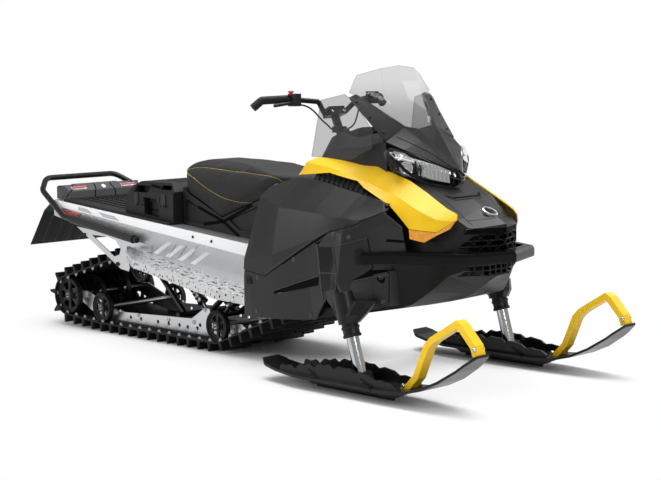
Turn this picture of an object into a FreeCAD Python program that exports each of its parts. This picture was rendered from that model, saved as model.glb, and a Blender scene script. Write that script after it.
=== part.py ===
import FreeCAD, Part
import Sketcher
import math
import os

# A utility snowmobile: one wide track, a pair of steered skis and a long tunnel.
# Millimetres, X forward, Y to the left, Z up, origin on the ground under the middle.

Vector = FreeCAD.Vector
Rotation = FreeCAD.Rotation
doc = FreeCAD.newDocument("snowmobile")
sheet = doc.addObject("Spreadsheet::Sheet", "sizes")

# Driving sizes
SIZES = {
    "track_width": 500,
    "belt_thickness": 6.5,
    "lug_height": 38,
    "lug_base_width": 20,
    "lug_tip_width": 11,
    "lug_rows": 54,
    "idler_radius": 90,
    "idler_place_x": -1298,
    "idler_lift": 15,
    "bogie_radius": 70.5,
    "bogie_rear_x": -1025,
    "bogie_front_x": -164,
    "carrier_place_x": -709,
    "carrier_place_z": 343,
    "drive_radius": 89.25,
    "drive_place_x": 366,
    "drive_place_z": 350,
    "sprocket_width": 26,
    "wheel_width": 24,
    "wheel_tyre": 9,
    "wheel_track": 446,
    "wheel_spokes": 6,
    "axle_radius": 11,
    "rail_spacing": 372,
    "rail_thickness": 8,
    "rail_hole_radius": 9,
    "slider_height": 11,
    "slider_width": 30,
    "arm_radius": 13,
    "tunnel_width": 540,
    "tunnel_sheet": 3,
    "tunnel_rear_x": -1348,
    "tunnel_rear_z": 625,
    "tunnel_knee_x": 95,
    "tunnel_knee_z": 506,
    "tunnel_front_x": 470,
    "tunnel_rib_height": 3,
    "footboard_sheet": 4,
    "footboard_edge_y": 450,
    "footboard_rail_height": 38,
    "footboard_rail_width": 20,
    "bracket_sheet": 5,
    "bracket_bolt_radius": 8,
    "anchor_hole_radius": 6,
    "bumper_tube_radius": 14,
    "bumper_sleeve_radius": 20,
    "bumper_stub_radius": 9,
    "bumper_bend_radius": 70,
    "flap_thickness": 7,
    "reflector_thickness": 3,
    "deck_thickness": 12,
    "deck_groove_depth": 4,
    "deck_groove_width": 24,
    "deck_groove_pitch": 43,
    "box_width": 460,
    "seat_clearance": 0.3,
    "panel_sheet": 5,
    "seam_gap": 4,
    "seam_lap": 3,
    "shroud_sheet": 6,
    "cowl_sheet": 6,
    "screen_sheet": 4,
    "ski_stance": 900,
    "ski_width": 188,
    "ski_sole_thickness": 11,
    "ski_edge_height": 42,
    "ski_keel_width": 46,
    "ski_runner_radius": 6,
    "ski_rib_thickness": 11,
    "ski_rib_spacing": 132,
    "ski_loop_width": 46,
    "ski_loop_thickness": 25,
    "leg_rake": 16.5,
    "leg_radius": 25,
    "leg_foot_x": 945,
    "leg_foot_z": 101,
    "leg_length": 330,
    "sleeve_radius": 33,
    "housing_radius": 43,
    "leg_clearance": 1,
    "front_bar_depth": 30,
    "front_bar_height": 24,
    "post_rake": 24,
    "post_radius": 18,
    "post_length": 250,
    "bar_radius": 11,
    "grip_radius": 17,
    "cable_radius": 3.5,
    "engine_length": 360,
    "engine_width": 380,
    "engine_height": 390,
}
for row, (name, number) in enumerate(SIZES.items(), start=1):
    sheet.set("A%d" % row, str(number))
    sheet.setAlias("A%d" % row, name)
doc.recompute()


class Length:
    """A length together with the sheet formula that it comes from."""

    def __init__(self, value, formula):
        self.value = value
        self.formula = formula

    def __float__(self):
        return self.value

    def __add__(self, other):
        return Length(self.value + float(other), "(%s + %s)" % (self.formula, formula(other)))

    __radd__ = __add__

    def __sub__(self, other):
        return Length(self.value - float(other), "(%s - %s)" % (self.formula, formula(other)))

    def __rsub__(self, other):
        return Length(float(other) - self.value, "(%s - %s)" % (formula(other), self.formula))

    def __mul__(self, other):
        return Length(self.value * float(other), "(%s * %s)" % (self.formula, formula(other)))

    __rmul__ = __mul__

    def __truediv__(self, other):
        return Length(self.value / float(other), "(%s / %s)" % (self.formula, formula(other)))

    def __neg__(self):
        return self * -1


def formula(length):
    return length.formula if isinstance(length, Length) else "(%.9f)" % length


def size(name):
    return Length(float(sheet.get(name)), "sizes." + name)


def bind(item, path, length):
    """Sets a property, tied to the sheet where its length comes from there."""
    if isinstance(length, Length):
        item.setExpression(path, length.formula)
    else:
        setattr(item, path, length)


def make(kind, label, owner=doc, **settings):
    item = doc.addObject(kind, label) if owner is doc else owner.newObject(kind, label)
    for name, value in settings.items():
        bind(item, name, value)
    return item


def place(item, spot, turn=Rotation()):
    item.Placement = FreeCAD.Placement(Vector(*spot), turn)
    for axis, length in zip("xyz", spot):
        if isinstance(length, Length):
            item.setExpression(".Placement.Base." + axis, length.formula)
    return item


PIECES = []


def keep(label, item):
    """Marks the object that is one whole piece and names it."""
    item.Label = label
    PIECES.append(item)
    return item


# Side (XZ), plan (XY) and front (YZ) views: origin plane, how a drawing turns, what it faces
VIEWS = {
    "XZ": ("XZ_Plane", Rotation(Vector(1, 0, 0), 90), (0, 1, 0), -1),
    "XY": ("XY_Plane", Rotation(), (0, 0, 1), 1),
    "YZ": ("YZ_Plane", Rotation(Vector(1, 1, 1), 120), (1, 0, 0), 1),
}


def draw(label, outlines, view="XZ", at=0, owner=doc, circles=()):
    """Sketch of closed outlines and circles, every corner held by its two distances."""
    role, turn, facing, sense = VIEWS[view]
    sketch = make("Sketcher::SketchObject", label, owner)
    if owner is doc:
        place(sketch, [at * part if part else 0 for part in facing], turn)
    else:
        plane = [part for part in owner.Origin.OriginFeatures if part.Role == role][0]
        sketch.AttachmentSupport = [(plane, "")]
        sketch.MapMode = "FlatFace"
        sketch.AttachmentOffset = FreeCAD.Placement(Vector(0, 0, float(at) * sense), Rotation())
        if isinstance(at, Length):
            sketch.setExpression(".AttachmentOffset.Base.z", (at * sense).formula)
    rules = []
    ties = []

    def hold(geometry, spot, corner):
        for kind, length, axis in (("DistanceX", corner[0], -2), ("DistanceY", corner[1], -1)):
            if float(length) == 0:
                rules.append(Sketcher.Constraint("PointOnObject", geometry, spot, axis))
                continue
            if isinstance(length, Length):
                ties.append((len(rules), length))
            rules.append(Sketcher.Constraint(kind, -1, 1, geometry, spot, float(length)))

    for outline in outlines:
        first = sketch.GeometryCount
        corners = [Vector(a, b, 0) for a, b in outline]
        for number, (start, end) in enumerate(zip(corners, corners[1:] + corners[:1])):
            sketch.addGeometry(Part.LineSegment(start, end), False)
            following = first + (number + 1) % len(corners)
            rules.append(Sketcher.Constraint("Coincident", first + number, 2, following, 1))
            hold(first + number, 1, outline[number])
    for a, b, radius in circles:
        number = sketch.addGeometry(Part.Circle(Vector(a, b, 0), Vector(0, 0, 1), float(radius)), False)
        hold(number, 3, (a, b))
        if isinstance(radius, Length):
            ties.append((len(rules), radius))
        rules.append(Sketcher.Constraint("Radius", number, float(radius)))
    sketch.addConstraint(rules)
    for number, length in ties:
        sketch.setExpression("Constraints[%d]" % number, length.formula)
    return sketch


# Shapes made of whole objects
def prism(label, points, low, high, view="XZ"):
    """Outline raised from low to high along the axis that the view looks down."""
    sketch = draw(label + "_outline", [points], view, low)
    return make("Part::Extrusion", label, Base=sketch, DirMode="Custom", Dir=Vector(*VIEWS[view][2]),
                LengthFwd=high - low, Solid=True)


def cut(label, base, *tools):
    for number, tool in enumerate(tools):
        name = label if number == len(tools) - 1 else "%s_less_%d" % (label, number + 1)
        base = make("Part::Cut", name, Base=base, Tool=tool)
    return base


def common(label, first, *others):
    for number, other in enumerate(others):
        name = label if number == len(others) - 1 else "%s_within_%d" % (label, number + 1)
        first = make("Part::Common", name, Base=first, Tool=other)
    return first


def fuse(label, *items):
    return make("Part::MultiFuse", label, Shapes=list(items))


def group(label, *items):
    return make("Part::Compound", label, Links=list(items))


def mirror(label, item):
    return make("Part::Mirroring", label, Source=item, Normal=Vector(0, 1, 0), Base=Vector(0, 0, 0))


def pair(label, item):
    return group(label, item, mirror(label + "_mirror", item))


def whole(label, half):
    return fuse(label, half, mirror(label + "_mirror", half))


def cylinder(label, foot, axis, length, radius):
    rod = make("Part::Cylinder", label, Radius=radius, Height=length)
    return place(rod, foot, Rotation(Vector(0, 0, 1), Vector(*axis)))


def rod(label, start, end, radius):
    run = Vector(*end) - Vector(*start)
    return cylinder(label, start, run, run.Length, radius)


def cross_rod(label, x, z, half, radius):
    return cylinder(label, (x, -half, z), (0, 1, 0), half * 2, radius)


def loft(label, sections, view="YZ"):
    """Solid with straight sides through outlines drawn at stations along one axis."""
    sketches = [draw("%s_%d" % (label, number), [points], view, at)
                for number, (at, points) in enumerate(sections, start=1)]
    return make("Part::Loft", label, Sections=sketches, Solid=True, Ruled=True)


# Shapes made of features on one body
def body(label):
    return doc.addObject("PartDesign::Body", label)


def pad(owner, label, outlines, low, high, view="XZ", circles=()):
    sketch = draw(label + "_outline", outlines, view, (low + high) / 2, owner, circles)
    return make("PartDesign::Pad", label, owner, Profile=sketch, Length=high - low, SideType="Symmetric")


def pocket(owner, label, outlines, low, high, view="XZ", circles=()):
    sketch = draw(label + "_outline", outlines, view, (low + high) / 2, owner, circles)
    return make("PartDesign::Pocket", label, owner, Profile=sketch, Length=high - low, SideType="Symmetric")


def revolve(owner, label, points, view="XY", axis="V_Axis"):
    sketch = draw(label + "_outline", [points], view, 0, owner)
    return make("PartDesign::Revolution", label, owner, Profile=sketch, ReferenceAxis=(sketch, [axis]), Angle=360)


def pattern(owner, kind, label, source, **settings):
    made = make("PartDesign::" + kind, label, owner, Originals=[source], **settings)
    owner.Tip = made
    return made


def origin_axis(owner, role):
    return ([part for part in owner.Origin.OriginFeatures if part.Role == role][0], [""])


def grown(outline, gap):
    """Open outline pushed to its left by gap, mitred at the corners."""
    moved = []
    for index, (a, b) in enumerate(outline):
        before = outline[max(index - 1, 0)]
        after = outline[min(index + 1, len(outline) - 1)]
        turns = []
        for start, end in ((before, (a, b)), ((a, b), after)):
            run = (float(end[0]) - float(start[0]), float(end[1]) - float(start[1]))
            length = math.hypot(*run)
            if length:
                turns.append((-run[1] / length, run[0] / length))
        normal = [sum(turn[k] for turn in turns) / len(turns) for k in (0, 1)]
        square = normal[0] ** 2 + normal[1] ** 2
        moved.append((a + gap * (normal[0] / square), b + gap * (normal[1] / square)))
    return moved


def prolonged(outline, reach):
    """Open outline with its first and last runs carried on by reach."""
    ends = []
    for (a, b), (c, d) in ((outline[0], outline[1]), (outline[-1], outline[-2])):
        run = (float(a) - float(c), float(b) - float(d))
        length = math.hypot(*run)
        ends.append((a + reach * (run[0] / length), b + reach * (run[1] / length)))
    return [ends[0]] + outline[1:-1] + [ends[1]]


def rounded_path(points, radius):
    """Straight runs joined by arcs of one bend radius."""
    edges = []
    start = Vector(*points[0])
    for before, corner, after in zip(points, points[1:], points[2:]):
        here = Vector(*corner)
        back = (Vector(*before) - here).normalize()
        ahead = (Vector(*after) - here).normalize()
        half = back.getAngle(ahead) / 2
        reach = radius / math.tan(half)
        inward = (back + ahead).normalize()
        centre = here + inward * (radius / math.sin(half))
        first = here + back * reach
        last = here + ahead * reach
        edges.append(Part.LineSegment(start, first).toShape())
        edges.append(Part.Arc(first, centre - inward * radius, last).toShape())
        start = last
    edges.append(Part.LineSegment(start, Vector(*points[-1])).toShape())
    return Part.Wire(edges)


def tube(label, line, radius):
    """Round bar swept along a line of straight runs and arcs."""
    path = make("Part::Feature", label + "_line", Shape=line)
    first = line.OrderedEdges[0]
    ahead = first.tangentAt(first.FirstParameter)
    ring = make("Part::Circle", label + "_ring", Radius=radius)
    place(ring, first.valueAt(first.FirstParameter), Rotation(Vector(0, 0, 1), ahead))
    names = ["Edge%d" % number for number in range(1, len(line.Edges) + 1)]
    return make("Part::Sweep", label, Sections=[ring], Spine=(path, names), Solid=True)


def cord_path(points):
    """Straight runs and arcs, each arc as wide as its shorter run allows."""
    edges = []
    places = [Vector(*point) for point in points]
    start = places[0]
    for before, corner, after in zip(places, places[1:], places[2:]):
        back = before - corner
        ahead = after - corner
        reach = 0.45 * min(back.Length, ahead.Length)
        half = back.getAngle(ahead) / 2
        bend = reach * math.tan(half)
        print("cord bend radius", round(bend, 1))
        back.normalize()
        ahead.normalize()
        inward = (back + ahead).normalize()
        first = corner + back * reach
        last = corner + ahead * reach
        middle = corner + inward * (bend / math.sin(half) - bend)
        edges.append(Part.LineSegment(start, first).toShape())
        edges.append(Part.Arc(first, middle, last).toShape())
        start = last
    edges.append(Part.LineSegment(start, places[-1]).toShape())
    return Part.Wire(edges)


# Side of each half, as a sign of Y
SIDES = (("right", -1), ("left", 1))

# Track: belt round five pairs of wheels, lugs in alternating rows
ground_belt = size("lug_height") + size("belt_thickness")
idler_z = ground_belt + size("idler_lift") + size("idler_radius")
bogie_z = ground_belt + size("bogie_radius")
IDLER = (size("idler_place_x"), idler_z, size("idler_radius"))
BOGIE_REAR = (size("bogie_rear_x"), bogie_z, size("bogie_radius"))
BOGIE_FRONT = (size("bogie_front_x"), bogie_z, size("bogie_radius"))
DRIVE = (size("drive_place_x"), size("drive_place_z"), size("drive_radius"))
CARRIER = (size("carrier_place_x"), size("carrier_place_z"), size("bogie_radius"))
ROUND = [[float(part) for part in spot] for spot in (IDLER, BOGIE_REAR, BOGIE_FRONT, DRIVE, CARRIER)]


def belt_runs():
    """Straight and curved runs of the belt's middle line, bottom run first."""
    middle = float(size("belt_thickness")) / 2
    normals = []
    for (x0, z0, r0), (x1, z1, r1) in zip(ROUND, ROUND[1:] + ROUND[:1]):
        reach = math.hypot(x1 - x0, z1 - z0)
        normals.append(math.atan2(z1 - z0, x1 - x0) - math.acos((r0 - r1) / reach))
    runs = []
    for index, (x, z, r) in enumerate(ROUND):
        start = normals[index - 1]
        turn = (normals[index] - start) % (2 * math.pi)
        runs.append(("arc", (x, z, r, start, turn), (r + middle) * turn))
        x1, z1, r1 = ROUND[(index + 1) % len(ROUND)]
        out = (math.cos(normals[index]), math.sin(normals[index]))
        begin = (x + out[0] * r, z + out[1] * r)
        end = (x1 + out[0] * r1, z1 + out[1] * r1)
        runs.append(("line", (begin, end, out), math.hypot(end[0] - begin[0], end[1] - begin[1])))
    return runs


BELT = belt_runs()
BELT_LENGTH = sum(length for kind, data, length in BELT)


def on_run(run, distance, offset):
    """Point and outward direction on one run, offset out from the wheels' rims."""
    kind, data, length = run
    if kind == "arc":
        x, z, r, start, turn = data
        angle = start + turn * distance / length
        out = Vector(math.cos(angle), 0, math.sin(angle))
        return Vector(x, 0, z) + out * (r + offset), out
    begin, end, normal = data
    share = distance / length
    out = Vector(normal[0], 0, normal[1])
    point = Vector(begin[0] + (end[0] - begin[0]) * share, 0, begin[1] + (end[1] - begin[1]) * share)
    return point + out * offset, out


def belt_edges(start, end, offset):
    """Edges along the belt between two distances, split where straight meets curve."""
    edges = []
    passed = 0
    shortest = 0.01
    for run in BELT + BELT[:2]:
        kind, data, length = run
        low = max(start - passed, 0)
        high = min(end - passed, length)
        if high - low > shortest:
            first = on_run(run, low, offset)[0]
            last = on_run(run, high, offset)[0]
            if kind == "arc":
                edges.append(Part.Arc(first, on_run(run, (low + high) / 2, offset)[0], last).toShape())
            else:
                edges.append(Part.LineSegment(first, last).toShape())
        passed += length
    return edges


def belt_point(distance, offset):
    for run in BELT + BELT[:2]:
        if distance <= run[2]:
            return on_run(run, distance, offset)
        distance -= run[2]


def lugged_face(label, first_row, step):
    """Side view of the belt with a lug on every step-th row, from first_row on."""
    pitch = BELT_LENGTH / int(float(size("lug_rows")))
    thickness = float(size("belt_thickness"))
    height = float(size("lug_height"))
    half_base = float(size("lug_base_width")) / 2
    half_tip = float(size("lug_tip_width")) / 2
    edges = []
    for row in range(first_row, int(float(size("lug_rows"))), step):
        centre = (row + 0.5) * pitch
        middle, out = belt_point(centre, thickness)
        along = Vector(-out.z, 0, out.x)
        tip = middle + out * height
        corners = [
            belt_point(centre - half_base, thickness)[0],
            tip - along * half_tip,
            tip + along * half_tip,
            belt_point(centre + half_base, thickness)[0],
        ]
        edges += [Part.LineSegment(a, b).toShape() for a, b in zip(corners, corners[1:])]
        edges += belt_edges(centre + half_base, centre + step * pitch - half_base, thickness)
    outer = Part.Face(Part.Wire(edges))
    inner = Part.Face(Part.Wire(belt_edges(0, BELT_LENGTH, 0)))
    return make("Part::Feature", label, Shape=outer.cut(inner))


EDGE_ROWS = lugged_face("track_edge_rows", 0, 1)
EVEN_ROWS = lugged_face("track_even_rows", 0, 2)
ODD_ROWS = lugged_face("track_odd_rows", 1, 2)
half_track = size("track_width") / 2
STRIPS = [(-1, -0.74, EDGE_ROWS), (-0.74, -0.3, ODD_ROWS), (-0.3, 0.3, EVEN_ROWS), (0.3, 0.74, ODD_ROWS),
          (0.74, 1, EDGE_ROWS)]
strips = [
    make("Part::Extrusion", "track_strip_%d" % number, Base=rows, DirMode="Custom", Dir=Vector(0, 1, 0),
         LengthFwd=half_track * high, LengthRev=half_track * -low, Solid=True)
    for number, (low, high, rows) in enumerate(STRIPS, start=1)
]
keep("track", fuse("track", *strips))


def spoked_wheel(label, radius):
    """Wheel about its own middle: rim with a rubber tyre, web with windows, hub cap."""
    half = size("wheel_width") / 2
    rim = radius - size("wheel_tyre")
    hub = radius * 0.3
    web = half * 0.4
    owner = body(label)
    revolve(owner, label + "_turned", [
        (size("axle_radius"), -half), (hub, -half), (hub, -web), (rim - 6, -web), (rim - 2, -half),
        (radius, -half), (radius, half), (rim - 2, half), (rim - 6, web), (hub, web), (hub, half),
        (size("axle_radius"), half),
    ])
    spread = math.pi / float(size("wheel_spokes")) * 0.64
    near = hub + 5
    far = rim - 11
    window = [(reach * math.cos(angle), reach * math.sin(angle))
              for reach, angle in ((near, -spread), (far, -spread), (far, spread), (near, spread))]
    opening = pocket(owner, label + "_window", [window], -half, half, "XZ")
    pattern(owner, "PolarPattern", label + "_windows", opening, Axis=origin_axis(owner, "Y_Axis"), Angle=360,
            Occurrences=size("wheel_spokes"))
    return owner


idler_wheel = spoked_wheel("idler_wheel", size("idler_radius"))
bogie_wheel = spoked_wheel("bogie_wheel", size("bogie_radius"))
outer_wheel = size("wheel_track") / 2
inner_wheel = outer_wheel * 0.34
spots = [(idler_wheel, IDLER, y) for y in (-inner_wheel, inner_wheel, -outer_wheel, outer_wheel)]
spots += [(bogie_wheel, spot, y) for spot in (BOGIE_REAR, BOGIE_FRONT, CARRIER) for y in (-outer_wheel, outer_wheel)]
copies = []
for number, (source, (x, z, radius), y) in enumerate(spots, start=1):
    copies.append(place(make("App::Link", "wheel_%d" % number, LinkedObject=source), (x, y, z)))
keep("track_wheels", group("track_wheels", *copies))

axle_half = outer_wheel + size("wheel_width") / 2 + 6
tunnel_half = size("tunnel_width") / 2
axles = [
    cross_rod("axle_%d" % number, x, z, half, size("axle_radius"))
    for number, ((x, z, radius), half) in enumerate(
        ((IDLER, axle_half), (BOGIE_REAR, axle_half), (BOGIE_FRONT, axle_half), (CARRIER, tunnel_half)), start=1)
]
keep("wheel_axles", group("wheel_axles", *axles))

# Drive axle: sprockets on a shaft that ends in the tunnel walls
tunnel_inside = tunnel_half - size("tunnel_sheet")
SPROCKET_MIDDLES = (-130, -45, 45, 130)
shaft = size("axle_radius") * 1.6
turned = [(0, -tunnel_inside), (shaft, -tunnel_inside)]
for middle_y in SPROCKET_MIDDLES:
    start = middle_y - size("sprocket_width") / 2
    end = middle_y + size("sprocket_width") / 2
    turned += [(shaft, start), (size("drive_radius"), start), (size("drive_radius"), end), (shaft, end)]
turned += [(shaft, tunnel_inside), (0, tunnel_inside)]
drive_axle = body("drive_axle")
revolve(drive_axle, "drive_axle_turned", turned)
keep("drive_axle", place(drive_axle, (DRIVE[0], 0, DRIVE[1])))

# Slide rails: aluminium plates standing on plastic sliders that the belt runs along
rail_base = ground_belt + size("slider_height")
idler_x = size("idler_place_x")
front_x = size("bogie_front_x")
RAIL = [
    (idler_x + 160, rail_base + 14), (idler_x + 268, rail_base), (front_x, rail_base), (front_x + 150, rail_base + 60),
    (front_x + 120, rail_base + 76), (front_x + 20, rail_base + 60), (front_x - 92, rail_base + 60),
    (front_x - 96, rail_base + 122), (front_x - 128, rail_base + 126), (front_x - 226, rail_base + 66),
    (idler_x + 402, rail_base + 44), (idler_x + 280, rail_base + 60), (idler_x + 110, idler_z + 24),
    (idler_x - 34, idler_z + 26), (idler_x - 40, idler_z - 22), (idler_x + 40, idler_z - 26),
]
half_rail = size("rail_thickness") / 2
rail_y = size("rail_spacing") / 2
RAIL_HOLES = [(-640, 24), (-560, 24), (-480, 26), (-420, 24), (-350, 26), (-330, 42), (-770, 24), (-850, 24)]
holes = [(x, rail_base + rise, size("rail_hole_radius")) for x, rise in RAIL_HOLES]
holes += [(x, z, size("axle_radius")) for x, z, radius in (IDLER, BOGIE_REAR, BOGIE_FRONT)]
slide_rail = body("slide_rail")
pad(slide_rail, "rail_plate", [RAIL], rail_y - half_rail, rail_y + half_rail)
pocket(slide_rail, "rail_holes", [], rail_y - half_rail, rail_y + half_rail, circles=holes)
keep("slide_rails", pair("slide_rails", slide_rail))
slider = body("slider")
SLIDER = [(idler_x + 272, ground_belt), (front_x, ground_belt), (front_x, rail_base), (idler_x + 268, rail_base)]
pad(slider, "slider_bar", [SLIDER], rail_y - size("slider_width") / 2, rail_y + size("slider_width") / 2)
keep("sliders", pair("sliders", slider))

# Suspension: front arm, rear arm, springs and dampers between tunnel and rails
arm_radius = size("arm_radius")
FRONT_PIVOT = (-40, 392)
FRONT_FOOT = (front_x - 226, rail_base + 62)
REAR_FOOT = (-500, rail_base + 68)
arm_half = rail_y - half_rail
front_arm = [
    cross_rod("front_pivot", *FRONT_PIVOT, tunnel_inside, arm_radius),
    cross_rod("front_foot", *FRONT_FOOT, arm_half, arm_radius),
]
for name, reach in (("right", -0.6), ("left", 0.6)):
    front_arm.append(rod("front_arm_" + name, (FRONT_PIVOT[0], arm_half * reach, FRONT_PIVOT[1]),
                         (FRONT_FOOT[0], arm_half * reach, FRONT_FOOT[1]), arm_radius))
front_arm = fuse("front_arm", *front_arm)
carrier_x, carrier_z, carrier_radius = CARRIER
arm_lift = size("axle_radius") + arm_radius
rear_arm = [cross_rod("rear_foot", *REAR_FOOT, arm_half, arm_radius)]
for name, reach in (("right", -0.75), ("left", 0.75)):
    rear_arm.append(rod("rear_arm_" + name, (carrier_x, arm_half * reach, carrier_z - arm_lift),
                        (REAR_FOOT[0], arm_half * reach, REAR_FOOT[1]), arm_radius))
rear_arm = fuse("rear_arm", *rear_arm)
keep("suspension_arms", group("suspension_arms", front_arm, rear_arm))


def damper(label, start, end, body_radius, spring_radius):
    """Shock absorber turned in one piece: rod, spring coils between two seats, body."""
    start = Vector(start[0], 0, start[1])
    run = Vector(end[0], 0, end[1]) - start
    coils = 8
    low = 0.16 * run.Length
    high = 0.84 * run.Length
    coil = (high - low) / coils
    seat = 5
    outline = [(0, 0), (body_radius / 2, 0), (body_radius / 2, low - seat), (spring_radius + 2, low - seat)]
    for number in range(coils):
        base = low + number * coil
        outline += [(spring_radius, base), (spring_radius, base + coil * 0.45), (body_radius, base + coil * 0.5),
                    (body_radius, base + coil * 0.95)]
    outline += [(spring_radius + 2, high), (spring_radius + 2, high + seat), (body_radius, high + seat),
                (body_radius, run.Length), (0, run.Length)]
    owner = body(label)
    revolve(owner, label + "_turned", outline, "XZ")
    return place(owner, start, Rotation(Vector(0, 0, 1), run))


front_damper = damper("front_damper", (FRONT_FOOT[0] + 10, FRONT_FOOT[1] + 7), (-49, 383), 18, 27)
rear_damper = damper("rear_damper", (REAR_FOOT[0] - 9, REAR_FOOT[1] + 9), (carrier_x + 8, carrier_z - 8), 17, 25)
keep("dampers", group("dampers", cut("front_shock", front_damper, front_arm), cut("rear_shock", rear_damper, rear_arm)))

# Tunnel: folded aluminium channel, three pressed ribs on each side
sheet_t = size("tunnel_sheet")
rear_x = size("tunnel_rear_x")
rear_z = size("tunnel_rear_z")
knee_x = size("tunnel_knee_x")
knee_z = size("tunnel_knee_z")
nose_x = size("tunnel_front_x")
tunnel_slope = (knee_z - rear_z) / (knee_x - rear_x)


def tunnel_top(x):
    return knee_z + tunnel_slope * (x - knee_x)


def board_top(x):
    """Height of the footboards' inner edge, which climbs to the rear."""
    return 318 - (x - knee_x + 13) * 0.154


SIDE_VIEW = [
    (rear_x, rear_z), (rear_x + 4, rear_z - 78), (-640, board_top(-640) - 6), (-520, board_top(-520) - 6),
    (82, board_top(82) - 6), (nose_x, board_top(nose_x) + 6), (nose_x, knee_z), (knee_x, knee_z),
]
OVERRUN = 20
DEEP = 40
HOLLOW = [
    (rear_x - OVERRUN, tunnel_top(rear_x - OVERRUN) - sheet_t), (rear_x - OVERRUN, rear_z - 78 - DEEP),
    (-640, board_top(-640) - DEEP), (82, board_top(82) - DEEP), (nose_x + OVERRUN, board_top(nose_x) - DEEP),
    (nose_x + OVERRUN, knee_z - sheet_t), (knee_x, knee_z - sheet_t),
]
ANCHOR_X = -1040
ANCHOR_REACH_X = 140
ANCHOR_REACH_Y = 200
ANCHORS = [(ANCHOR_X + along, across) for along in (-ANCHOR_REACH_X, ANCHOR_REACH_X)
           for across in (-ANCHOR_REACH_Y, ANCHOR_REACH_Y)]
TUNNEL_RIBS = (-470, -395, -320)
RIB_LOW = 410
RIB_HIGH = 470
ribs = [[(start, RIB_LOW), (start + 62, RIB_HIGH), (start + 84, RIB_HIGH), (start + 22, RIB_LOW)]
        for start in TUNNEL_RIBS]
tunnel = body("tunnel")
pad(tunnel, "tunnel_block", [SIDE_VIEW], -tunnel_half, tunnel_half)
pocket(tunnel, "tunnel_hollow", [HOLLOW], -tunnel_inside, tunnel_inside)
anchor_bores = [(x, y, size("anchor_hole_radius") + 3) for x, y in ANCHORS]
pocket(tunnel, "tunnel_anchor_holes", [], rear_z - 80, rear_z + 80, "XY", anchor_bores)
rib_out = size("tunnel_rib_height")
pad(tunnel, "ribs_left", ribs, tunnel_half - sheet_t, tunnel_half + rib_out)
pad(tunnel, "ribs_right", ribs, -tunnel_half - rib_out, sheet_t - tunnel_half)
keep("tunnel", tunnel)

# Footboards: pressed aluminium treads, punched for grip, with a deep outer rail
board_y = size("footboard_edge_y")
rail_w = size("footboard_rail_width")
BOARD_FRONT = 262
TOE_Y = 399
BOARD_PLAN = [
    (BOARD_FRONT, tunnel_half), (BOARD_FRONT, TOE_Y), (200, TOE_Y), (90, board_y), (-480, board_y), (-590, board_y - 50),
    (-690, tunnel_half + 50), (-690, tunnel_half + 5), (-560, tunnel_half + 5), (-560, tunnel_half),
]
RAIL_PLAN = BOARD_PLAN[1:7]
BOARD_LOW = 150
BOARD_HIGH = 480
board_wide = board_y + 10


def board_band(label, top, depth):
    """Sloping slice of the given depth under the footboards' upper face."""
    ends = (BOARD_FRONT + 10, -700)
    points = [(x, board_top(x) + top) for x in ends] + [(x, board_top(x) + top - depth) for x in reversed(ends)]
    return prism(label, points, 0, board_wide)


tread = common("tread", prism("tread_plan", BOARD_PLAN, BOARD_LOW, BOARD_HIGH, "XY"),
               board_band("tread_band", 0, size("footboard_sheet")))
HOLE_ROWS = (300, 345, 390)
HOLE_PITCH = 62
HOLE_LENGTH = 30
HOLE_HALF = 9
grips = []
for row_number, row_y in enumerate(HOLE_ROWS):
    for step in range(12):
        hole_x = 225 - HOLE_PITCH * step - HOLE_PITCH / 2 * (row_number % 2)
        if -420 < hole_x < 120 or row_y < HOLE_ROWS[2] - HOLE_LENGTH:
            grips.append([(hole_x, row_y - HOLE_HALF), (hole_x + HOLE_LENGTH, row_y - HOLE_HALF),
                          (hole_x + HOLE_LENGTH, row_y + HOLE_HALF), (hole_x, row_y + HOLE_HALF)])
grip_sketch = draw("tread_holes_outline", grips, "XY", BOARD_LOW)
tread_holes = make("Part::Extrusion", "tread_holes", Base=grip_sketch, DirMode="Custom", Dir=Vector(0, 0, 1),
                   LengthFwd=BOARD_HIGH - BOARD_LOW, Solid=True)
edge_plan = RAIL_PLAN + grown(RAIL_PLAN, rail_w)[::-1]
board_edge = common("board_edge", prism("board_edge_plan", edge_plan, BOARD_LOW, BOARD_HIGH, "XY"),
                    board_band("board_edge_band", 8, size("footboard_rail_height")))
board = fuse("footboard", cut("punched_tread", tread, tread_holes), board_edge)
keep("footboards", pair("footboards", board))

# Rear brackets: triangular plates from the tunnel's tail down to the footboards
bracket_out = tunnel_half + size("bracket_sheet")
BRACKET = [
    (-1150, 505), (-806, 326), (-742, 318), (-700, board_top(-700) - 14), (-640, board_top(-640) - 10),
    (-566, board_top(-566) + 6), (-566, board_top(-566) + 34), (-700, 470),
]
WINDOW = [(-1030, 472), (-852, 380), (-812, 392), (-800, 420), (-850, 470)]
bracket = body("bumper_bracket")
pad(bracket, "bracket_plate", [BRACKET], tunnel_half, bracket_out)
pocket(bracket, "bracket_window", [WINDOW], tunnel_half, bracket_out, circles=[(-719, 352, size("bracket_bolt_radius"))])
keep("bumper_brackets", pair("bumper_brackets", bracket))

# Rear bumper: one bent tube, its lower runs in grey sleeves
tube_r = size("bumper_tube_radius")
sleeve_r = size("bumper_sleeve_radius")
run_y = bracket_out + sleeve_r + 4
LOW_START = (-640, 474)
LOW_END = (-1225, 552)
HALF_BUMPER = [(LOW_START[0], run_y, LOW_START[1]), (LOW_END[0], run_y, LOW_END[1]), (-1425, run_y - 18, 668),
               (-1492, 212, 722)]


def low_run(share):
    """Point on the bumper's lower run, as a share of its length."""
    return [start + (end - start) * share for start, end in zip(LOW_START, LOW_END)]


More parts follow.
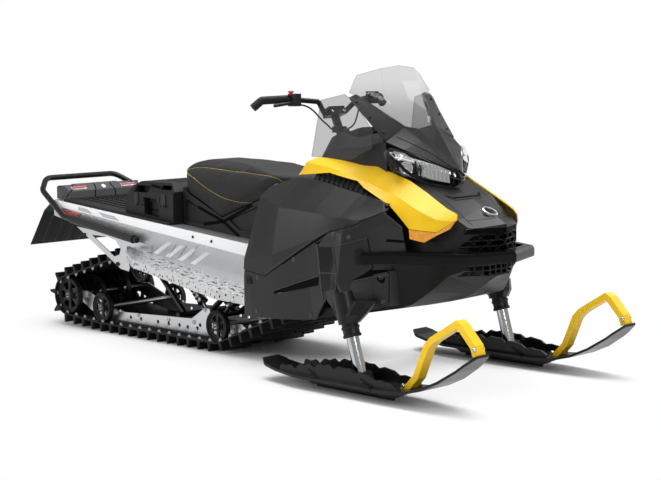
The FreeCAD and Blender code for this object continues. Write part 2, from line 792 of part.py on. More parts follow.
bumper_line = rounded_path([(x, -y, z) for x, y, z in HALF_BUMPER] + HALF_BUMPER[::-1],
                           float(size("bumper_bend_radius")))
stubs = []
for name, share in (("front", 0.12), ("rear", 0.82)):
    x, z = low_run(share)
    stubs.append(cylinder("bumper_stub_" + name, (x, tunnel_half, z), (0, 1, 0), run_y - tunnel_half,
                          size("bumper_stub_radius")))
stub_mirrors = [mirror(stub.Label + "_mirror", stub) for stub in stubs]
keep("rear_bumper", fuse("rear_bumper", tube("bumper_tube", bumper_line, tube_r), *stubs, *stub_mirrors))
SLEEVE_ENDS = (0.04, 0.88)
(x0, z0), (x1, z1) = (low_run(share) for share in SLEEVE_ENDS)
sleeve_ends = ((x0, run_y, z0), (x1, run_y, z1))
sleeve = cut("bumper_sleeve", rod("sleeve_outside", *sleeve_ends, sleeve_r), rod("sleeve_bore", *sleeve_ends, tube_r),
             *stubs)
keep("bumper_sleeves", pair("bumper_sleeves", sleeve))

# Snow flap: thick rubber sheet hung from the tunnel's tail
flap_t = size("flap_thickness")
FLAP = [(rear_x, rear_z), (rear_x - 84, 568), (-1562, 392)]
flap = body("snow_flap")
pad(flap, "flap_sheet", [FLAP + [(x - flap_t * 0.55, z - flap_t) for x, z in FLAP[::-1]]], -tunnel_half, tunnel_half)
keep("snow_flap", flap)

# Tail lamp housing, its lenses and the side reflectors
TAIL = [
    (-1396, tunnel_top(rear_x) + 1), (-1404, 650), (-1372, 690), (-1316, 694), (-1286, 664),
    (-1282, tunnel_top(-1282)), (rear_x, rear_z),
]
TAIL_PLAN = [(-1404, 150), (-1380, 226), (-1330, 232), (-1282, 214)]
tail_plan = TAIL_PLAN + [(x, -y) for x, y in TAIL_PLAN[::-1]]
tail = common("tail_lamp_housing", prism("tail_side", TAIL, -tunnel_half, tunnel_half),
              prism("tail_plan", tail_plan, 560, 760, "XY"))
keep("tail_lamp_housing", tail)
LENS = [(-1404, 652), (-1374, 688), (-1380, 693), (-1412, 655)]
LENS_HALF = 138
keep("tail_lens", cut("tail_lens", prism("lens_bar", LENS, -LENS_HALF, LENS_HALF), tail))
REFLECTOR = [(-1298, 583), (-1278, 551), (-1140, 543), (-1164, 572)]
reflector = body("side_reflector")
pad(reflector, "reflector_plate", [REFLECTOR], tunnel_half, tunnel_half + size("reflector_thickness"))
keep("side_reflectors", pair("side_reflectors", reflector))

# Cargo deck: ribbed black tray on the tunnel behind the box
deck_t = size("deck_thickness")
DECK_REAR = -1276
DECK_FRONT = -452
DECK_INSET = 12
GROOVE_REAR = -1256
GROOVE_FRONT = -830
GROOVES = 9
deck = body("cargo_deck")
DECK_SIDE = [(DECK_REAR, tunnel_top(DECK_REAR)), (DECK_FRONT, tunnel_top(DECK_FRONT)),
             (DECK_FRONT, tunnel_top(DECK_FRONT) + deck_t), (DECK_REAR, tunnel_top(DECK_REAR) + deck_t)]
pad(deck, "deck_tray", [DECK_SIDE], DECK_INSET - tunnel_half, tunnel_half - DECK_INSET)
groove_low = deck_t - size("deck_groove_depth")
groove_high = deck_t + size("deck_groove_depth")
GROOVE = [(GROOVE_REAR, tunnel_top(GROOVE_REAR) + groove_low), (GROOVE_FRONT, tunnel_top(GROOVE_FRONT) + groove_low),
          (GROOVE_FRONT, tunnel_top(GROOVE_FRONT) + groove_high), (GROOVE_REAR, tunnel_top(GROOVE_REAR) + groove_high)]
first_groove = size("deck_groove_pitch") * ((1 - GROOVES) / 2)
half_groove = size("deck_groove_width") / 2
groove = pocket(deck, "deck_groove", [GROOVE], first_groove - half_groove, first_groove + half_groove)
pattern(deck, "LinearPattern", "deck_grooves", groove, Direction=origin_axis(deck, "Y_Axis"),
        Length=size("deck_groove_pitch") * (GROOVES - 1), Occurrences=GROOVES)
pocket(deck, "deck_anchor_holes", [], rear_z - 80, rear_z + 80, "XY",
       [(x, y, size("anchor_hole_radius")) for x, y in ANCHORS])
deck.Tip = deck.Group[-1]
keep("cargo_deck", deck)

# Cargo box: moulded case with side pockets and a ribbed lid
BOX_SIDE = [
    (-812, tunnel_top(-812) + deck_t), (-806, 650), (-770, 716), (-730, 738), (-500, 738), (-452, 700),
    (-456, tunnel_top(-456) + deck_t),
]
box_half = size("box_width") / 2
BOX_FRONT = [(-box_half, 540), (-box_half, 690), (-190, 745), (190, 745), (box_half, 690), (box_half, 540)]
box = common("box_case", prism("box_side", BOX_SIDE, -box_half, box_half),
             prism("box_front", BOX_FRONT, -820, -440, "YZ"))
POCKET = [(-668, 590), (-668, 668), (-560, 660), (-560, 578)]
SHELF = [(-745, 688), (-745, 720), (-640, 720), (-640, 688)]
HANDLE = [(-560, 706), (-560, 726), (-490, 726), (-478, 706)]
side_pocket = prism("box_pocket", POCKET, box_half - 34, box_half)
side_shelf = prism("box_shelf", SHELF, box_half - 54, box_half)
handle_slot = prism("box_handle_slot", HANDLE, box_half - 70, box_half)
LID_RIBS = 6
LID_PITCH = 34
LID_TOP = 738
LID_DEPTH = 7
lid = []
for number in range(LID_RIBS):
    start = -700 + LID_PITCH * number
    lid.append([(start, LID_TOP - LID_DEPTH), (start, LID_TOP + LID_DEPTH), (start + 15, LID_TOP + LID_DEPTH),
                (start + 15, LID_TOP - LID_DEPTH)])
LID_HALF = 150
lid_grooves = make("Part::Extrusion", "lid_grooves", Base=draw("lid_grooves_outline", lid, "XZ", -LID_HALF),
                   DirMode="Custom", Dir=Vector(0, 1, 0), LengthFwd=2 * LID_HALF, Solid=True)
sunk = (side_pocket, side_shelf, handle_slot)
keep("cargo_box", cut("cargo_box", box, *sunk, *(mirror(item.Label + "_mirror", item) for item in sunk), lid_grooves))

# Seat: padded cushion on a moulded base
CUSHION_FLOOR = [(330, 768), (262, 752), (124, 704), (-172, 598), (-398, 692), (-440, 722)]
CUSHION_SIDE = [(-452, 800), (-420, 832), (-354, 842), (-181, 838), (-21, 826), (120, 796), (250, 788), (330, 792)]
CUSHION_PLAN = [(-456, 150), (-400, 182), (-173, 190), (100, 182), (170, 158), (262, 112), (336, 84)]
CUSHION_FRONT = [(-196, 560), (-184, 770), (-140, 822), (-96, 844), (96, 844), (140, 822), (184, 770), (196, 560)]
cushion = common(
    "seat_cushion", prism("cushion_side", CUSHION_SIDE + CUSHION_FLOOR, -200, 200),
    prism("cushion_plan", CUSHION_PLAN + [(x, -y) for x, y in CUSHION_PLAN[::-1]], 580, 860, "XY"),
    prism("cushion_front", CUSHION_FRONT, -470, 350, "YZ"),
)
keep("seat_cushion", cushion)

SEAT_BASE_REAR = -446
BASE_HALF = 178
BASE_SIDE = [(x, z - size("seat_clearance")) for x, z in CUSHION_FLOOR]
BASE_SIDE += [(SEAT_BASE_REAR, 700), (SEAT_BASE_REAR, tunnel_top(SEAT_BASE_REAR)), (knee_x, knee_z), (330, knee_z)]
BASE_PLAN = [(-448, BASE_HALF), (150, BASE_HALF), (250, 108), (330, 84)]
base = common("base_block", prism("base_side", BASE_SIDE, -BASE_HALF, BASE_HALF),
              prism("base_plan", BASE_PLAN + [(x, -y) for x, y in BASE_PLAN[::-1]], 480, 770, "XY"))
RECESS_DEPTH = 9
RECESSES = [
    [(-430, 566), (-430, 668), (-398, 660), (-216, 586), (-300, 562)],
    [(-130, 590), (100, 672), (100, 548), (-60, 548)],
]
recesses = [prism("base_recess_%d" % number, outline, BASE_HALF - RECESS_DEPTH, BASE_HALF)
            for number, outline in enumerate(RECESSES, start=1)]
keep("seat_base", cut("seat_base", base, *recesses, *(mirror(item.Label + "_mirror", item) for item in recesses)))

# Body sides: faceted plastic skins, split along one falling seam
SIDE_HULL = [
    (180, [(215, 800), (330, 735), (412, 470), (412, 390), (402, 300), (392, 225)]),
    (276, [(250, 790), (345, 725), (420, 470), (420, 390), (410, 300), (400, 226)]),
    (433, [(245, 806), (390, 693), (432, 500), (424, 400), (412, 310), (402, 232)]),
    (640, [(258, 784), (397, 682), (432, 570), (426, 440), (414, 340), (400, 250)]),
    (790, [(266, 757), (400, 668), (432, 610), (436, 480), (438, 390), (420, 290)]),
    (836, [(272, 750), (398, 668), (428, 612), (450, 480), (470, 390), (464, 300)]),
    (896, [(282, 746), (390, 666), (396, 610), (416, 480), (452, 390), (456, 304)]),
    (980, [(296, 738), (340, 694), (344, 655), (330, 540), (330, 400), (320, 330)]),
    (1050, [(288, 700), (300, 664), (300, 630), (280, 540), (274, 440), (266, 345)]),
]


def to_middle(points):
    """Outline of a half section closed along the middle plane."""
    return points + [(0, points[-1][1]), (0, points[0][1])]


def half_hull(label, stations, gap=0, reach=0):
    """Half body through open sections, pushed out by gap, their ends run on by reach."""
    sections = []
    for x, points in stations:
        pushed = grown(points, gap) if float(gap) else points
        sections.append((x, to_middle(prolonged(pushed, reach) if float(reach) else pushed)))
    return loft(label, sections)


panel_t = size("panel_sheet")
gap = size("seam_gap")
PANEL_INNER = 60
PANEL_OUTER = 460
side_block = half_hull("side_block", SIDE_HULL)
side_skin = cut("side_skin", side_block, half_hull("side_inside", SIDE_HULL, -panel_t, panel_t * 8))
SEAM = [(240, 424), (381, 410), (676, 574), (760, 615), (863, 642), (978, 700)]
UPPER = SEAM + [(941, 732), (800, 752), (493, 803), (387, 806), (276, 762), (262, 600)]
upper = common("side_panel_left", side_skin, prism("upper_view", UPPER, PANEL_INNER, PANEL_OUTER))
keep("side_panel_left", upper)
keep("side_panel_right", mirror("side_panel_right", upper))

# Lap: a thin flange on the lower panels lies behind the upper panels' edge
LAP_LOW = 16
LAP_HIGH = 14
LAP_SPLIT = 724
lap_face = half_hull("lap_face", SIDE_HULL, -panel_t)
lap_back = half_hull("lap_back", SIDE_HULL, -(panel_t + size("seam_lap")), 92)
lap_band = [(x, z - LAP_LOW) for x, z in SEAM] + [(x, z + LAP_HIGH) for x, z in SEAM[::-1]]
lap = common("lap", cut("lap_sheet", lap_face, lap_back), prism("lap_view", lap_band, PANEL_INNER, PANEL_OUTER))
lap_behind = prism("lap_rear_view", [(200, 200), (LAP_SPLIT, 200), (LAP_SPLIT, 800), (200, 800)], PANEL_INNER, PANEL_OUTER)
lap_ahead = prism("lap_front_view", [(LAP_SPLIT, 200), (1100, 200), (1100, 800), (LAP_SPLIT, 800)], PANEL_INNER,
                  PANEL_OUTER)
lower_seam = [(x, z - gap) for x, z in SEAM]
FENDER_EDGE = [(706, 560), (742, 348)]
LOWER = [(246, 420)] + lower_seam[1:3] + FENDER_EDGE + [(650, 252), (395, 226), (216, 226)]
SLOT = [(430, 336), (690, 404), (694, 430)]
lower_skin = cut("lower_skin", common("lower_sheet", side_skin, prism("lower_view", LOWER, PANEL_INNER, PANEL_OUTER)),
                 prism("slot_view", SLOT, 350, PANEL_OUTER))
lower = fuse("lower_panel", lower_skin, common("lap_rear", lap, lap_behind))
FENDER = [(FENDER_EDGE[0][0] + gap, FENDER_EDGE[0][1] + 2)] + lower_seam[3:]
FENDER += [(1040, 640), (1044, 345), (896, 296), (800, 288), (FENDER_EDGE[1][0] + gap, FENDER_EDGE[1][1] - 8)]
fender_skin = common("fender_skin", side_skin, prism("fender_view", FENDER, PANEL_INNER, PANEL_OUTER))
POD_VIEW = [(874, 438), (1020, 474), (1022, 338), (936, 344)]
POD_PLAN = [(860, 408), (1022, 352), (1022, 270), (860, 270)]
side_pod = cut("side_pod", common("side_pod_block", prism("pod_view", POD_VIEW, 270, 420),
                                  prism("pod_plan", POD_PLAN, 300, 500, "XY")), side_block)
fender = fuse("fender", fender_skin, common("lap_front", lap, lap_ahead), side_pod)

# Belly pan: closes the underside and wraps up round the nose
BELLY_HULL = [
    (524, [(385, 280), (378, 244), (0, 238)]),
    (640, [(385, 290), (378, 252), (0, 244)]),
    (900, [(372, 340), (352, 300), (0, 290)]),
    (1020, [(322, 500), (296, 322), (0, 316)]),
    (1065, [(296, 512), (276, 340), (0, 328)]),
    (1125, [(262, 516), (236, 392), (0, 352)]),
    (1180, [(226, 520), (196, 452), (0, 388)]),
    (1232, [(164, 520), (146, 474), (0, 424)]),
    (1266, [(72, 520), (66, 446), (0, 442)]),
]


def belly_half(label, inset=0, rise=0):
    """Half belly pushed in by inset, its open top carried up by rise."""
    sections = []
    for x, points in BELLY_HULL:
        half = grown(points, -inset) if float(inset) else points
        keel = (0, half[-1][1])
        sections.append((x, [(0, half[0][1] + rise), (half[0][0], half[0][1] + rise), half[1], keel]))
    return loft(label, sections)


belly_block = belly_half("belly_block")
belly_skin = cut("belly_skin", belly_block, belly_half("belly_inside", panel_t, panel_t))
NOSE_CAP = [(1260, 400), (1260, 560), (1270, 560), (1270, 400)]
nose_cap = common("nose_cap", belly_block, prism("nose_cap_view", NOSE_CAP, 0, 200))
TOP_LINE = [(1020, 500), (1065, 512), (1125, 516), (1180, 520), (1266, 520)]
LID = TOP_LINE + [(x, z - panel_t) for x, z in TOP_LINE[::-1]]
belly_lid = common("belly_lid", belly_block, prism("belly_lid_view", LID, 0, 400))
belly_shell = fuse("belly_shell", belly_skin, nose_cap, belly_lid)

# The belly's own intake: two rows of cells pressed into the nose
CELL_ROWS = (458, 478)
CELLS = 5
CELL_PITCH = 34
CELL_HALF = (13, 7)
cells = []
for row_z in CELL_ROWS:
    for number in range(CELLS):
        middle = CELL_PITCH * (number - (CELLS - 1) / 2)
        cells.append([(middle - CELL_HALF[0], row_z - CELL_HALF[1]), (middle + CELL_HALF[0], row_z - CELL_HALF[1]),
                      (middle + CELL_HALF[0], row_z + CELL_HALF[1]), (middle - CELL_HALF[0], row_z + CELL_HALF[1])])
belly_cells = make("Part::Extrusion", "belly_cells", Base=draw("belly_cells_outline", cells, "YZ", 1200),
                   DirMode="Custom", Dir=Vector(1, 0, 0), LengthFwd=80, Solid=True)
keep("belly_pan", cut("belly_pan", whole("belly_whole", belly_shell), belly_cells))
keep("lower_panels", pair("lower_panels", cut("lower_panel_left", lower, belly_block, board)))

# Leg housings: round collars on tapering pods that carry the ski legs
rake = math.radians(float(size("leg_rake")))
leg_up = Vector(-math.sin(rake), 0, math.cos(rake))
ski_y = size("ski_stance") / 2
leg_foot = Vector(size("leg_foot_x"), ski_y, size("leg_foot_z"))


def up_leg(distance):
    return leg_foot + leg_up * distance


HOUSING_LOW = 178
HOUSING_RISE = 120
SLEEVE_LOW = 128
POD_RINGS = ((276, 893, 450, 44, 44), (308, 886, 436, 78, 54), (360, 880, 400, 110, 60))
POD_CORNERS = 12
pod_sections = []
for z, middle_x, middle_y, reach_x, reach_y in POD_RINGS:
    turns = [2 * math.pi * number / POD_CORNERS for number in range(POD_CORNERS)]
    pod_sections.append((z, [(middle_x + reach_x * math.cos(turn), middle_y + reach_y * math.sin(turn))
                             for turn in turns]))
pod = loft("pod_block", pod_sections, "XY")
collar = cylinder("collar", up_leg(HOUSING_LOW), leg_up, HOUSING_RISE, size("housing_radius"))
sleeve = cylinder("leg_sleeve", up_leg(SLEEVE_LOW), leg_up, HOUSING_RISE, size("sleeve_radius"))
leg_bore = cylinder("leg_bore", leg_foot, leg_up, size("leg_length"), size("leg_radius") + size("leg_clearance"))
housing_block = fuse("housing_block", cut("pod", pod, side_block, belly_block), collar, sleeve)
housing = cut("leg_housing", housing_block, leg_bore)
keep("front_fenders", pair("front_fenders", cut("front_fender_left", fender, belly_block, housing_block)))
keep("leg_housings", pair("leg_housings", housing))

# Front bumper: V-shaped bar clamped to the fenders and the nose
BAR_REAR = 858
BAR_SLOPE = 0.404
BAR_CORNER = (1262, 190)
PEAK_X = 1332
BAR_LOW = 509
LIP_REACH = 8
LIP_HEIGHT = 6
bar_depth = size("front_bar_depth")
bar_top = BAR_LOW + size("front_bar_height")
BAR_END_Y = BAR_CORNER[1] + (BAR_CORNER[0] - BAR_REAR) * BAR_SLOPE
BAR_PLAN = [(BAR_REAR, BAR_END_Y), BAR_CORNER, (PEAK_X, 0), (BAR_CORNER[0], -BAR_CORNER[1]), (BAR_REAR, -BAR_END_Y)]
inner_plan = grown(BAR_PLAN, bar_depth / -2)
outer_plan = grown(BAR_PLAN, bar_depth / 2)
lip_plan = grown(BAR_PLAN, -(bar_depth / 2 + LIP_REACH))
parts = [prism("bar_block", outer_plan + inner_plan[::-1], BAR_LOW, bar_top, "XY"),
         prism("bar_lip", inner_plan + lip_plan[::-1], BAR_LOW, BAR_LOW + LIP_HEIGHT, "XY")]
STAY = [(1262, BAR_LOW + 2), (1262, BAR_LOW + 16), (1322, BAR_LOW + 16), (1322, BAR_LOW + 2)]
CLAMP = [(828, BAR_LOW - 10), (828, bar_top + 10), (BAR_REAR + 18, bar_top + 6), (BAR_REAR + 18, BAR_LOW - 6)]
stay = prism("bar_stay", STAY, 50, 84)
clamp = prism("bar_clamp", CLAMP, BAR_END_Y - 46, BAR_END_Y + 20)
parts += [stay, clamp, mirror("bar_stay_mirror", stay), mirror("bar_clamp_mirror", clamp)]
front_bar = cut("front_bumper", fuse("bar_whole", *parts), side_block, mirror("side_block_mirror", side_block),
                belly_block, mirror("belly_block_mirror", belly_block))
keep("front_bumper", front_bar)

# Side shrouds: bright folded skins along the top of the body
SHROUD = [
    (383, [(150, 838), (205, 835), (228, 812)]),
    (419, [(148, 884), (214, 866), (236, 816)]),
    (575, [(160, 880), (226, 848), (243, 824)]),
    (716, [(176, 866), (234, 815), (264, 800)]),
    (799, [(186, 858), (236, 796), (276, 776)]),
    (880, [(180, 835), (238, 770), (286, 738)]),
    (962, [(172, 808), (246, 750), (290, 700)]),
    (1056, [(172, 762), (250, 710), (300, 590)]),
    (1100, [(174, 739), (248, 692), (284, 576)]),
    (1160, [(176, 708), (232, 668), (252, 576)]),
    (1214, [(166, 684), (182, 664), (200, 610)]),
]
SHROUD_VIEW = [
    (383, 812), (399, 855), (419, 900), (716, 890), (962, 830), (1193, 705), (1209, 667), (1160, 623),
    (1056, 632), (957, 714), (744, 803), (579, 829),
]


def folded_sheet(label, stations, thickness, view="YZ"):
    """Sheet through open sections, grown by its thickness to their left."""
    return loft(label, [(at, points + grown(points, thickness)[::-1]) for at, points in stations], view)


shroud_sheet = folded_sheet("shroud_sheet", SHROUD, -size("shroud_sheet"))
shroud = common("shroud_left", shroud_sheet, prism("shroud_view", SHROUD_VIEW, 100, 330))
keep("shroud_left", shroud)
keep("shroud_right", mirror("shroud_right", shroud))

# Hood: centre skin from the lamps down to the pointed nose, open where the grille sits
HOOD_HULL = [
    (900, [(0, 850), (182, 824), (216, 770), (240, 700), (250, 600)]),
    (1000, [(0, 802), (178, 783), (218, 718), (244, 640), (250, 520)]),
    (1098, [(0, 753), (176, 733), (208, 655), (228, 590), (236, 500)]),
    (1193, [(0, 705), (152, 662), (180, 612), (200, 570), (214, 500)]),
    (1247, [(0, 677), (140, 630), (164, 596), (186, 550), (200, 500)]),
    (1314, [(0, 642), (126, 590), (146, 560), (160, 530), (172, 500)]),
]
NOSE_PLAN = [(1306, 0), (1277, 60), (1247, 128), (1198, 186), (1150, 224), (1080, 252)]
HOOD_REAR = 900
NOSE_LOW = 440
NOSE_HIGH = 860
HOOD_WIDE = 240


def nose_prism(label, points):
    """Upright block that is as wide as the nose, its pointed front wall through points."""
    plan = points + [(points[-1][0], HOOD_WIDE * 2), (HOOD_REAR - panel_t * 2, HOOD_WIDE * 2), (HOOD_REAR - panel_t * 2, 0)]
    return prism(label, plan, NOSE_LOW, NOSE_HIGH, "XY")


hood_block = common("hood_block", loft("hood_roof", [(x, points + [(0, points[-1][1])]) for x, points in HOOD_HULL]),
                    nose_prism("nose_wall", NOSE_PLAN))
hood_inside = []
for x, points in HOOD_HULL:
    inner = [(0, points[0][1] - panel_t)] + grown(points, -panel_t)[1:-1]
    last = grown(points, -panel_t)[-1]
    hood_inside.append((x, inner + [(last[0], last[1] - 2), (0, points[-1][1] - 2)]))
nose_inner = grown(NOSE_PLAN, panel_t)
nose_inner[0] = (NOSE_PLAN[0][0] - panel_t * 1.2, 0)
hood_room = common("hood_room", loft("hood_inside", hood_inside), nose_prism("nose_inner_wall", nose_inner))
MOUTH = [(0, 540), (122, 540), (176, 560), (122, 608), (0, 614)]
mouth = prism("mouth_view", MOUTH, 1120, 1320, "YZ")
hood_foot = prism("hood_foot_view", [(1090, 440), (1330, 440), (1330, 521), (1090, 521)], 0, HOOD_WIDE)
hood_half = cut("hood_left", hood_block, hood_room, mouth, belly_block, shroud, hood_foot)
hood = cut("hood", whole("hood_whole", hood_half), front_bar)
keep("hood", hood)

# Nose grille: insert with elongated cells, set back a little in the hood's mouth
GRILLE_BACK = 7
GRILLE_THICK = 14
face_block = place(make("App::Link", "grille_face", LinkedObject=hood_block), (-GRILLE_BACK, 0, 0))
core_block = place(make("App::Link", "grille_core", LinkedObject=hood_block), (-GRILLE_BACK - GRILLE_THICK, 0, 0))
grille_half = cut("grille_left", common("grille_block", face_block, mouth), core_block, belly_block)
CELL = (27, 19, 8.5)
NOSE_CELLS = ((596, 3), (574, 4), (552, 3))
CELL_STEP = 62
cells = []
for cell_z, count in NOSE_CELLS:
    for number in range(count):
        middle = CELL_STEP * (number - (count - 1) / 2)
        cells.append([(middle - CELL[0], cell_z), (middle - CELL[1], cell_z + CELL[2]),
                      (middle + CELL[1], cell_z + CELL[2]), (middle + CELL[0], cell_z),
                      (middle + CELL[1], cell_z - CELL[2]), (middle - CELL[1], cell_z - CELL[2])])
nose_cells = make("Part::Extrusion", "nose_cells", Base=draw("nose_cells_outline", cells, "YZ", 1120),
                  DirMode="Custom", Dir=Vector(1, 0, 0), LengthFwd=200, Solid=True)
keep("nose_grille", cut("nose_grille", whole("grille_whole", grille_half), front_bar, nose_cells))

# Amber side reflectors under the noses of the shrouds
AMBER = [(1056, 630), (1160, 621), (1207, 664), (1196, 634), (1122, 584), (1068, 596)]
amber = common("amber_reflector", shroud_sheet, prism("amber_view", AMBER, 150, 330))
keep("front_reflectors", pair("front_reflectors", amber))

# Intake grilles: louvred strips between side panels and shrouds, turned down behind the panels' edge
INTAKE = [
    (500, [(222, 838), (240, 812), (244, 778)]),
    (716, [(232, 808), (258, 776), (262, 742)]),
    (880, [(238, 764), (280, 734), (284, 708)]),
    (950, [(242, 736), (290, 716), (293, 696)]),
]
INTAKE_SHEET = 10
LOUVRES = 14
LOUVRE_PITCH = 30
LOUVRE_WIDTH = 14
LOUVRE_DEPTH = (5, 4)
intake = folded_sheet("intake_sheet", INTAKE, -INTAKE_SHEET)
intake_face = folded_sheet("intake_face", [(x, [(y + LOUVRE_DEPTH[0], z + LOUVRE_DEPTH[1]) for y, z in points])
                                           for x, points in INTAKE], -INTAKE_SHEET)
louvres = []
for number in range(LOUVRES):
    start = 520 + LOUVRE_PITCH * number
    louvres.append([(start, 700), (start, 860), (start + LOUVRE_WIDTH, 860), (start + LOUVRE_WIDTH, 700)])
louvre_slots = make("Part::Extrusion", "louvre_slots", Base=draw("louvre_slots_outline", louvres, "XZ", 230),
                    DirMode="Custom", Dir=Vector(0, 1, 0), LengthFwd=70, Solid=True)
intake = cut("intake_left", intake, common("louvre_cut", louvre_slots, intake_face), shroud, upper)
keep("intake_grilles", pair("intake_grilles", intake))

# Engine: one block at its real place between the side panels
ENGINE_REAR = 528
ENGINE_LOW = 240
engine_box = make("Part::Box", "engine_box", Length=size("engine_length"), Width=size("engine_width") / 2,
                  Height=size("engine_height"))
place(engine_box, (ENGINE_REAR, 0, ENGINE_LOW))
belly_room = belly_half("belly_room", panel_t, size("engine_height") + ENGINE_LOW)
keep("engine_block", whole("engine_block", common("engine_left", engine_box, belly_room)))

# Steering post: its axis leans back and meets the bar's middle
post_lean = math.radians(float(size("post_rake")))
post_up = Vector(-math.sin(post_lean), 0, math.cos(post_lean))
BAR_MIDDLE = Vector(366, 0, 1062)
post_length = size("post_length")
post_radius = size("post_radius")


def up_post(distance):
    """Point on the post's axis, measured from its foot."""
    return BAR_MIDDLE + post_up * (distance - float(post_length))


# Cowl: visor over the lamps with two pillars rising beside the screen
VISOR = [
    (1071, [(0, 842), (5, 843), (12, 836)]),
    (1000, [(0, 893), (32, 899), (92, 884)]),
    (928, [(0, 948), (64, 957), (168, 928)]),
    (851, [(0, 1003), (98, 1019), (206, 964)]),
]
visor = loft("visor", [(x, points + [(y, z - size("cowl_sheet")) for y, z in points[::-1]]) for x, points in VISOR])
PILLAR = [
    (860, [(70, 1008), (94, 1012), (206, 962), (200, 956), (90, 1000)]),
    (700, [(182, 1138), (204, 1146), (243, 1134), (236, 1124), (196, 1130)]),
]
cowl = whole("cowl", fuse("cowl_left", visor, loft("pillar", PILLAR)))
keep("cowl", cowl)

# Console: dashboard between seat, shrouds and cowl, bored for the post
CONSOLE = [
    (338, [(0, 800), (60, 797), (80, 786), (84, 770)]),
    (384, [(0, 848), (70, 842), (120, 822), (140, 790)]),
    (408, [(0, 968), (56, 960), (118, 880), (150, 810)]),
    (480, [(0, 990), (84, 982), (150, 916), (160, 820)]),
    (600, [(0, 975), (104, 965), (172, 928), (165, 820)]),
    (720, [(0, 990), (120, 985), (192, 930), (176, 810)]),
    (852, [(0, 1001), (96, 1014), (192, 962), (184, 800)]),
]
CONSOLE_FLOOR = [(330, 772), (338, 776), (420, 800), (860, 800), (860, 1010), (330, 1010)]
console_block = loft("console_block", [(x, points + [(0, points[-1][1])]) for x, points in CONSOLE])
console_half = cut("console_left", common("console_dash", console_block, prism("console_view", CONSOLE_FLOOR, 0, 200)),
                   cowl, shroud, upper)
post_hole = post_radius + 9
post_well = cylinder("post_well", up_post(-20), post_up, post_length + 60, post_hole)
console = cut("console", whole("console_whole", console_half), post_well)
keep("console", console)
RING_HEIGHT = 18
ring_low = up_post(30)
bearing = cut("post_bearing", cylinder("bearing_outside", ring_low, post_up, RING_HEIGHT, post_hole),
              cylinder("bearing_bore", ring_low, post_up, RING_HEIGHT, post_radius + size("leg_clearance") / 2))
keep("post_bearing", bearing)

# Windshield: clear screen in three facets, bent back at the top
SCREEN = [
    (1004, [(852, 0), (850, 60), (860, 84)]),
    (1050, [(831, 0), (825, 84), (808, 124)]),
    (1120, [(800, 0), (788, 104), (722, 186)]),
    (1153, [(785, 0), (770, 110), (698, 238)]),
    (1194, [(766, 0), (754, 106), (692, 208)]),
    (1258, [(749, 0), (740, 92), (688, 164)]),
]
screen_sections = []
for z, points in SCREEN:
    back = grown(points, size("screen_sheet"))
    screen_sections.append((z, points + back[:0:-1] + [(back[0][0], 0)]))
SCREEN_FRONT = [(0, 990), (0, 1258), (92, 1248), (184, 1222), (246, 1150), (246, 990)]
screen_half = common("screen_left", loft("screen_sheet", screen_sections, "XY"),
                     prism("screen_front", SCREEN_FRONT, 600, 900, "YZ"))
keep("windshield", cut("windshield", whole("screen_whole", screen_half), cowl, console))

# Side deflectors: clear wings that flare out behind the pillars
DEFLECTOR_PLAN = [(812, 215), (680, 246), (518, 292)]
DEFLECTOR_VIEW = [(576, 1124), (680, 1147), (716, 1124), (806, 1004), (800, 930), (700, 886), (530, 896)]
wing = prism("deflector_plan", DEFLECTOR_PLAN + grown(DEFLECTOR_PLAN, -size("screen_sheet"))[::-1], 860, 1180, "XY")
deflector = cut("side_deflector", common("deflector_sheet", wing, prism("deflector_view", DEFLECTOR_VIEW, 150, 320)),
                cowl)
keep("side_deflectors", pair("side_deflectors", deflector))

# Headlamps: faceted clear lamps between hood and cowl
LAMP = [
    (4, [(1066, 842), (1090, 803), (1050, 770), (1000, 780), (1000, 880)]),
    (120, [(970, 902), (1012, 850), (992, 800), (930, 810), (920, 920)]),
    (200, [(914, 930), (946, 880), (938, 836), (892, 840), (884, 935)]),
    (236, [(893, 922), (897, 916), (893, 908), (884, 912), (884, 920)]),
]
lamp = cut("headlamp", loft("lamp_block", LAMP, "XZ"), cowl, hood_block)
keep("headlamps", pair("headlamps", lamp))

# Handlebar: bent tube clamped on the post, hooked grip ends
HALF_BAR = [(366, 0, 1062), (368, 60, 1062), (388, 112, 1112), (352, 250, 1126), (298, 350, 1122)]
BAR_BEND = 24
GRIP_BEND = 20
bar_line = rounded_path([(x, -y, z) for x, y, z in HALF_BAR[:0:-1]] + HALF_BAR[1:], BAR_BEND)
bar = keep("handlebar", tube("handlebar", bar_line, size("bar_radius")))
post = cylinder("post", up_post(0), post_up, post_length - size("bar_radius"), post_radius)
CLAMP_BOX = (54, 90, 34)
clamp_box = make("Part::Box", "bar_clamp_box", Length=CLAMP_BOX[0], Width=CLAMP_BOX[1], Height=CLAMP_BOX[2])
post_turn = Rotation(Vector(0, 1, 0), -float(size("post_rake")))
corner = BAR_MIDDLE + post_turn.multVec(Vector(-CLAMP_BOX[0] / 2, -CLAMP_BOX[1] / 2, -14))
place(clamp_box, corner, post_turn)
GUIDE_Z = 992
GUIDE_HALF = 22
GUIDE_HEIGHT = 26
guide_x = BAR_MIDDLE.x + (BAR_MIDDLE.z - GUIDE_Z) * math.tan(post_lean)
guide = make("Part::Box", "cable_guide", Length=2 * GUIDE_HALF, Width=2 * GUIDE_HALF, Height=GUIDE_HEIGHT)
place(guide, (guide_x - GUIDE_HALF, -GUIDE_HALF, GUIDE_Z - GUIDE_HEIGHT / 2))
keep("steering_post", cut("steering_post", fuse("post_whole", post, clamp_box, guide), bar))
GRIP_PATH = [(350, 254, 1126), (298, 350, 1122), (282, 384, 1092)]
grip = cut("grip", tube("grip_sleeve", rounded_path(GRIP_PATH, GRIP_BEND), size("grip_radius")), bar)
keep("grips", pair("grips", grip))

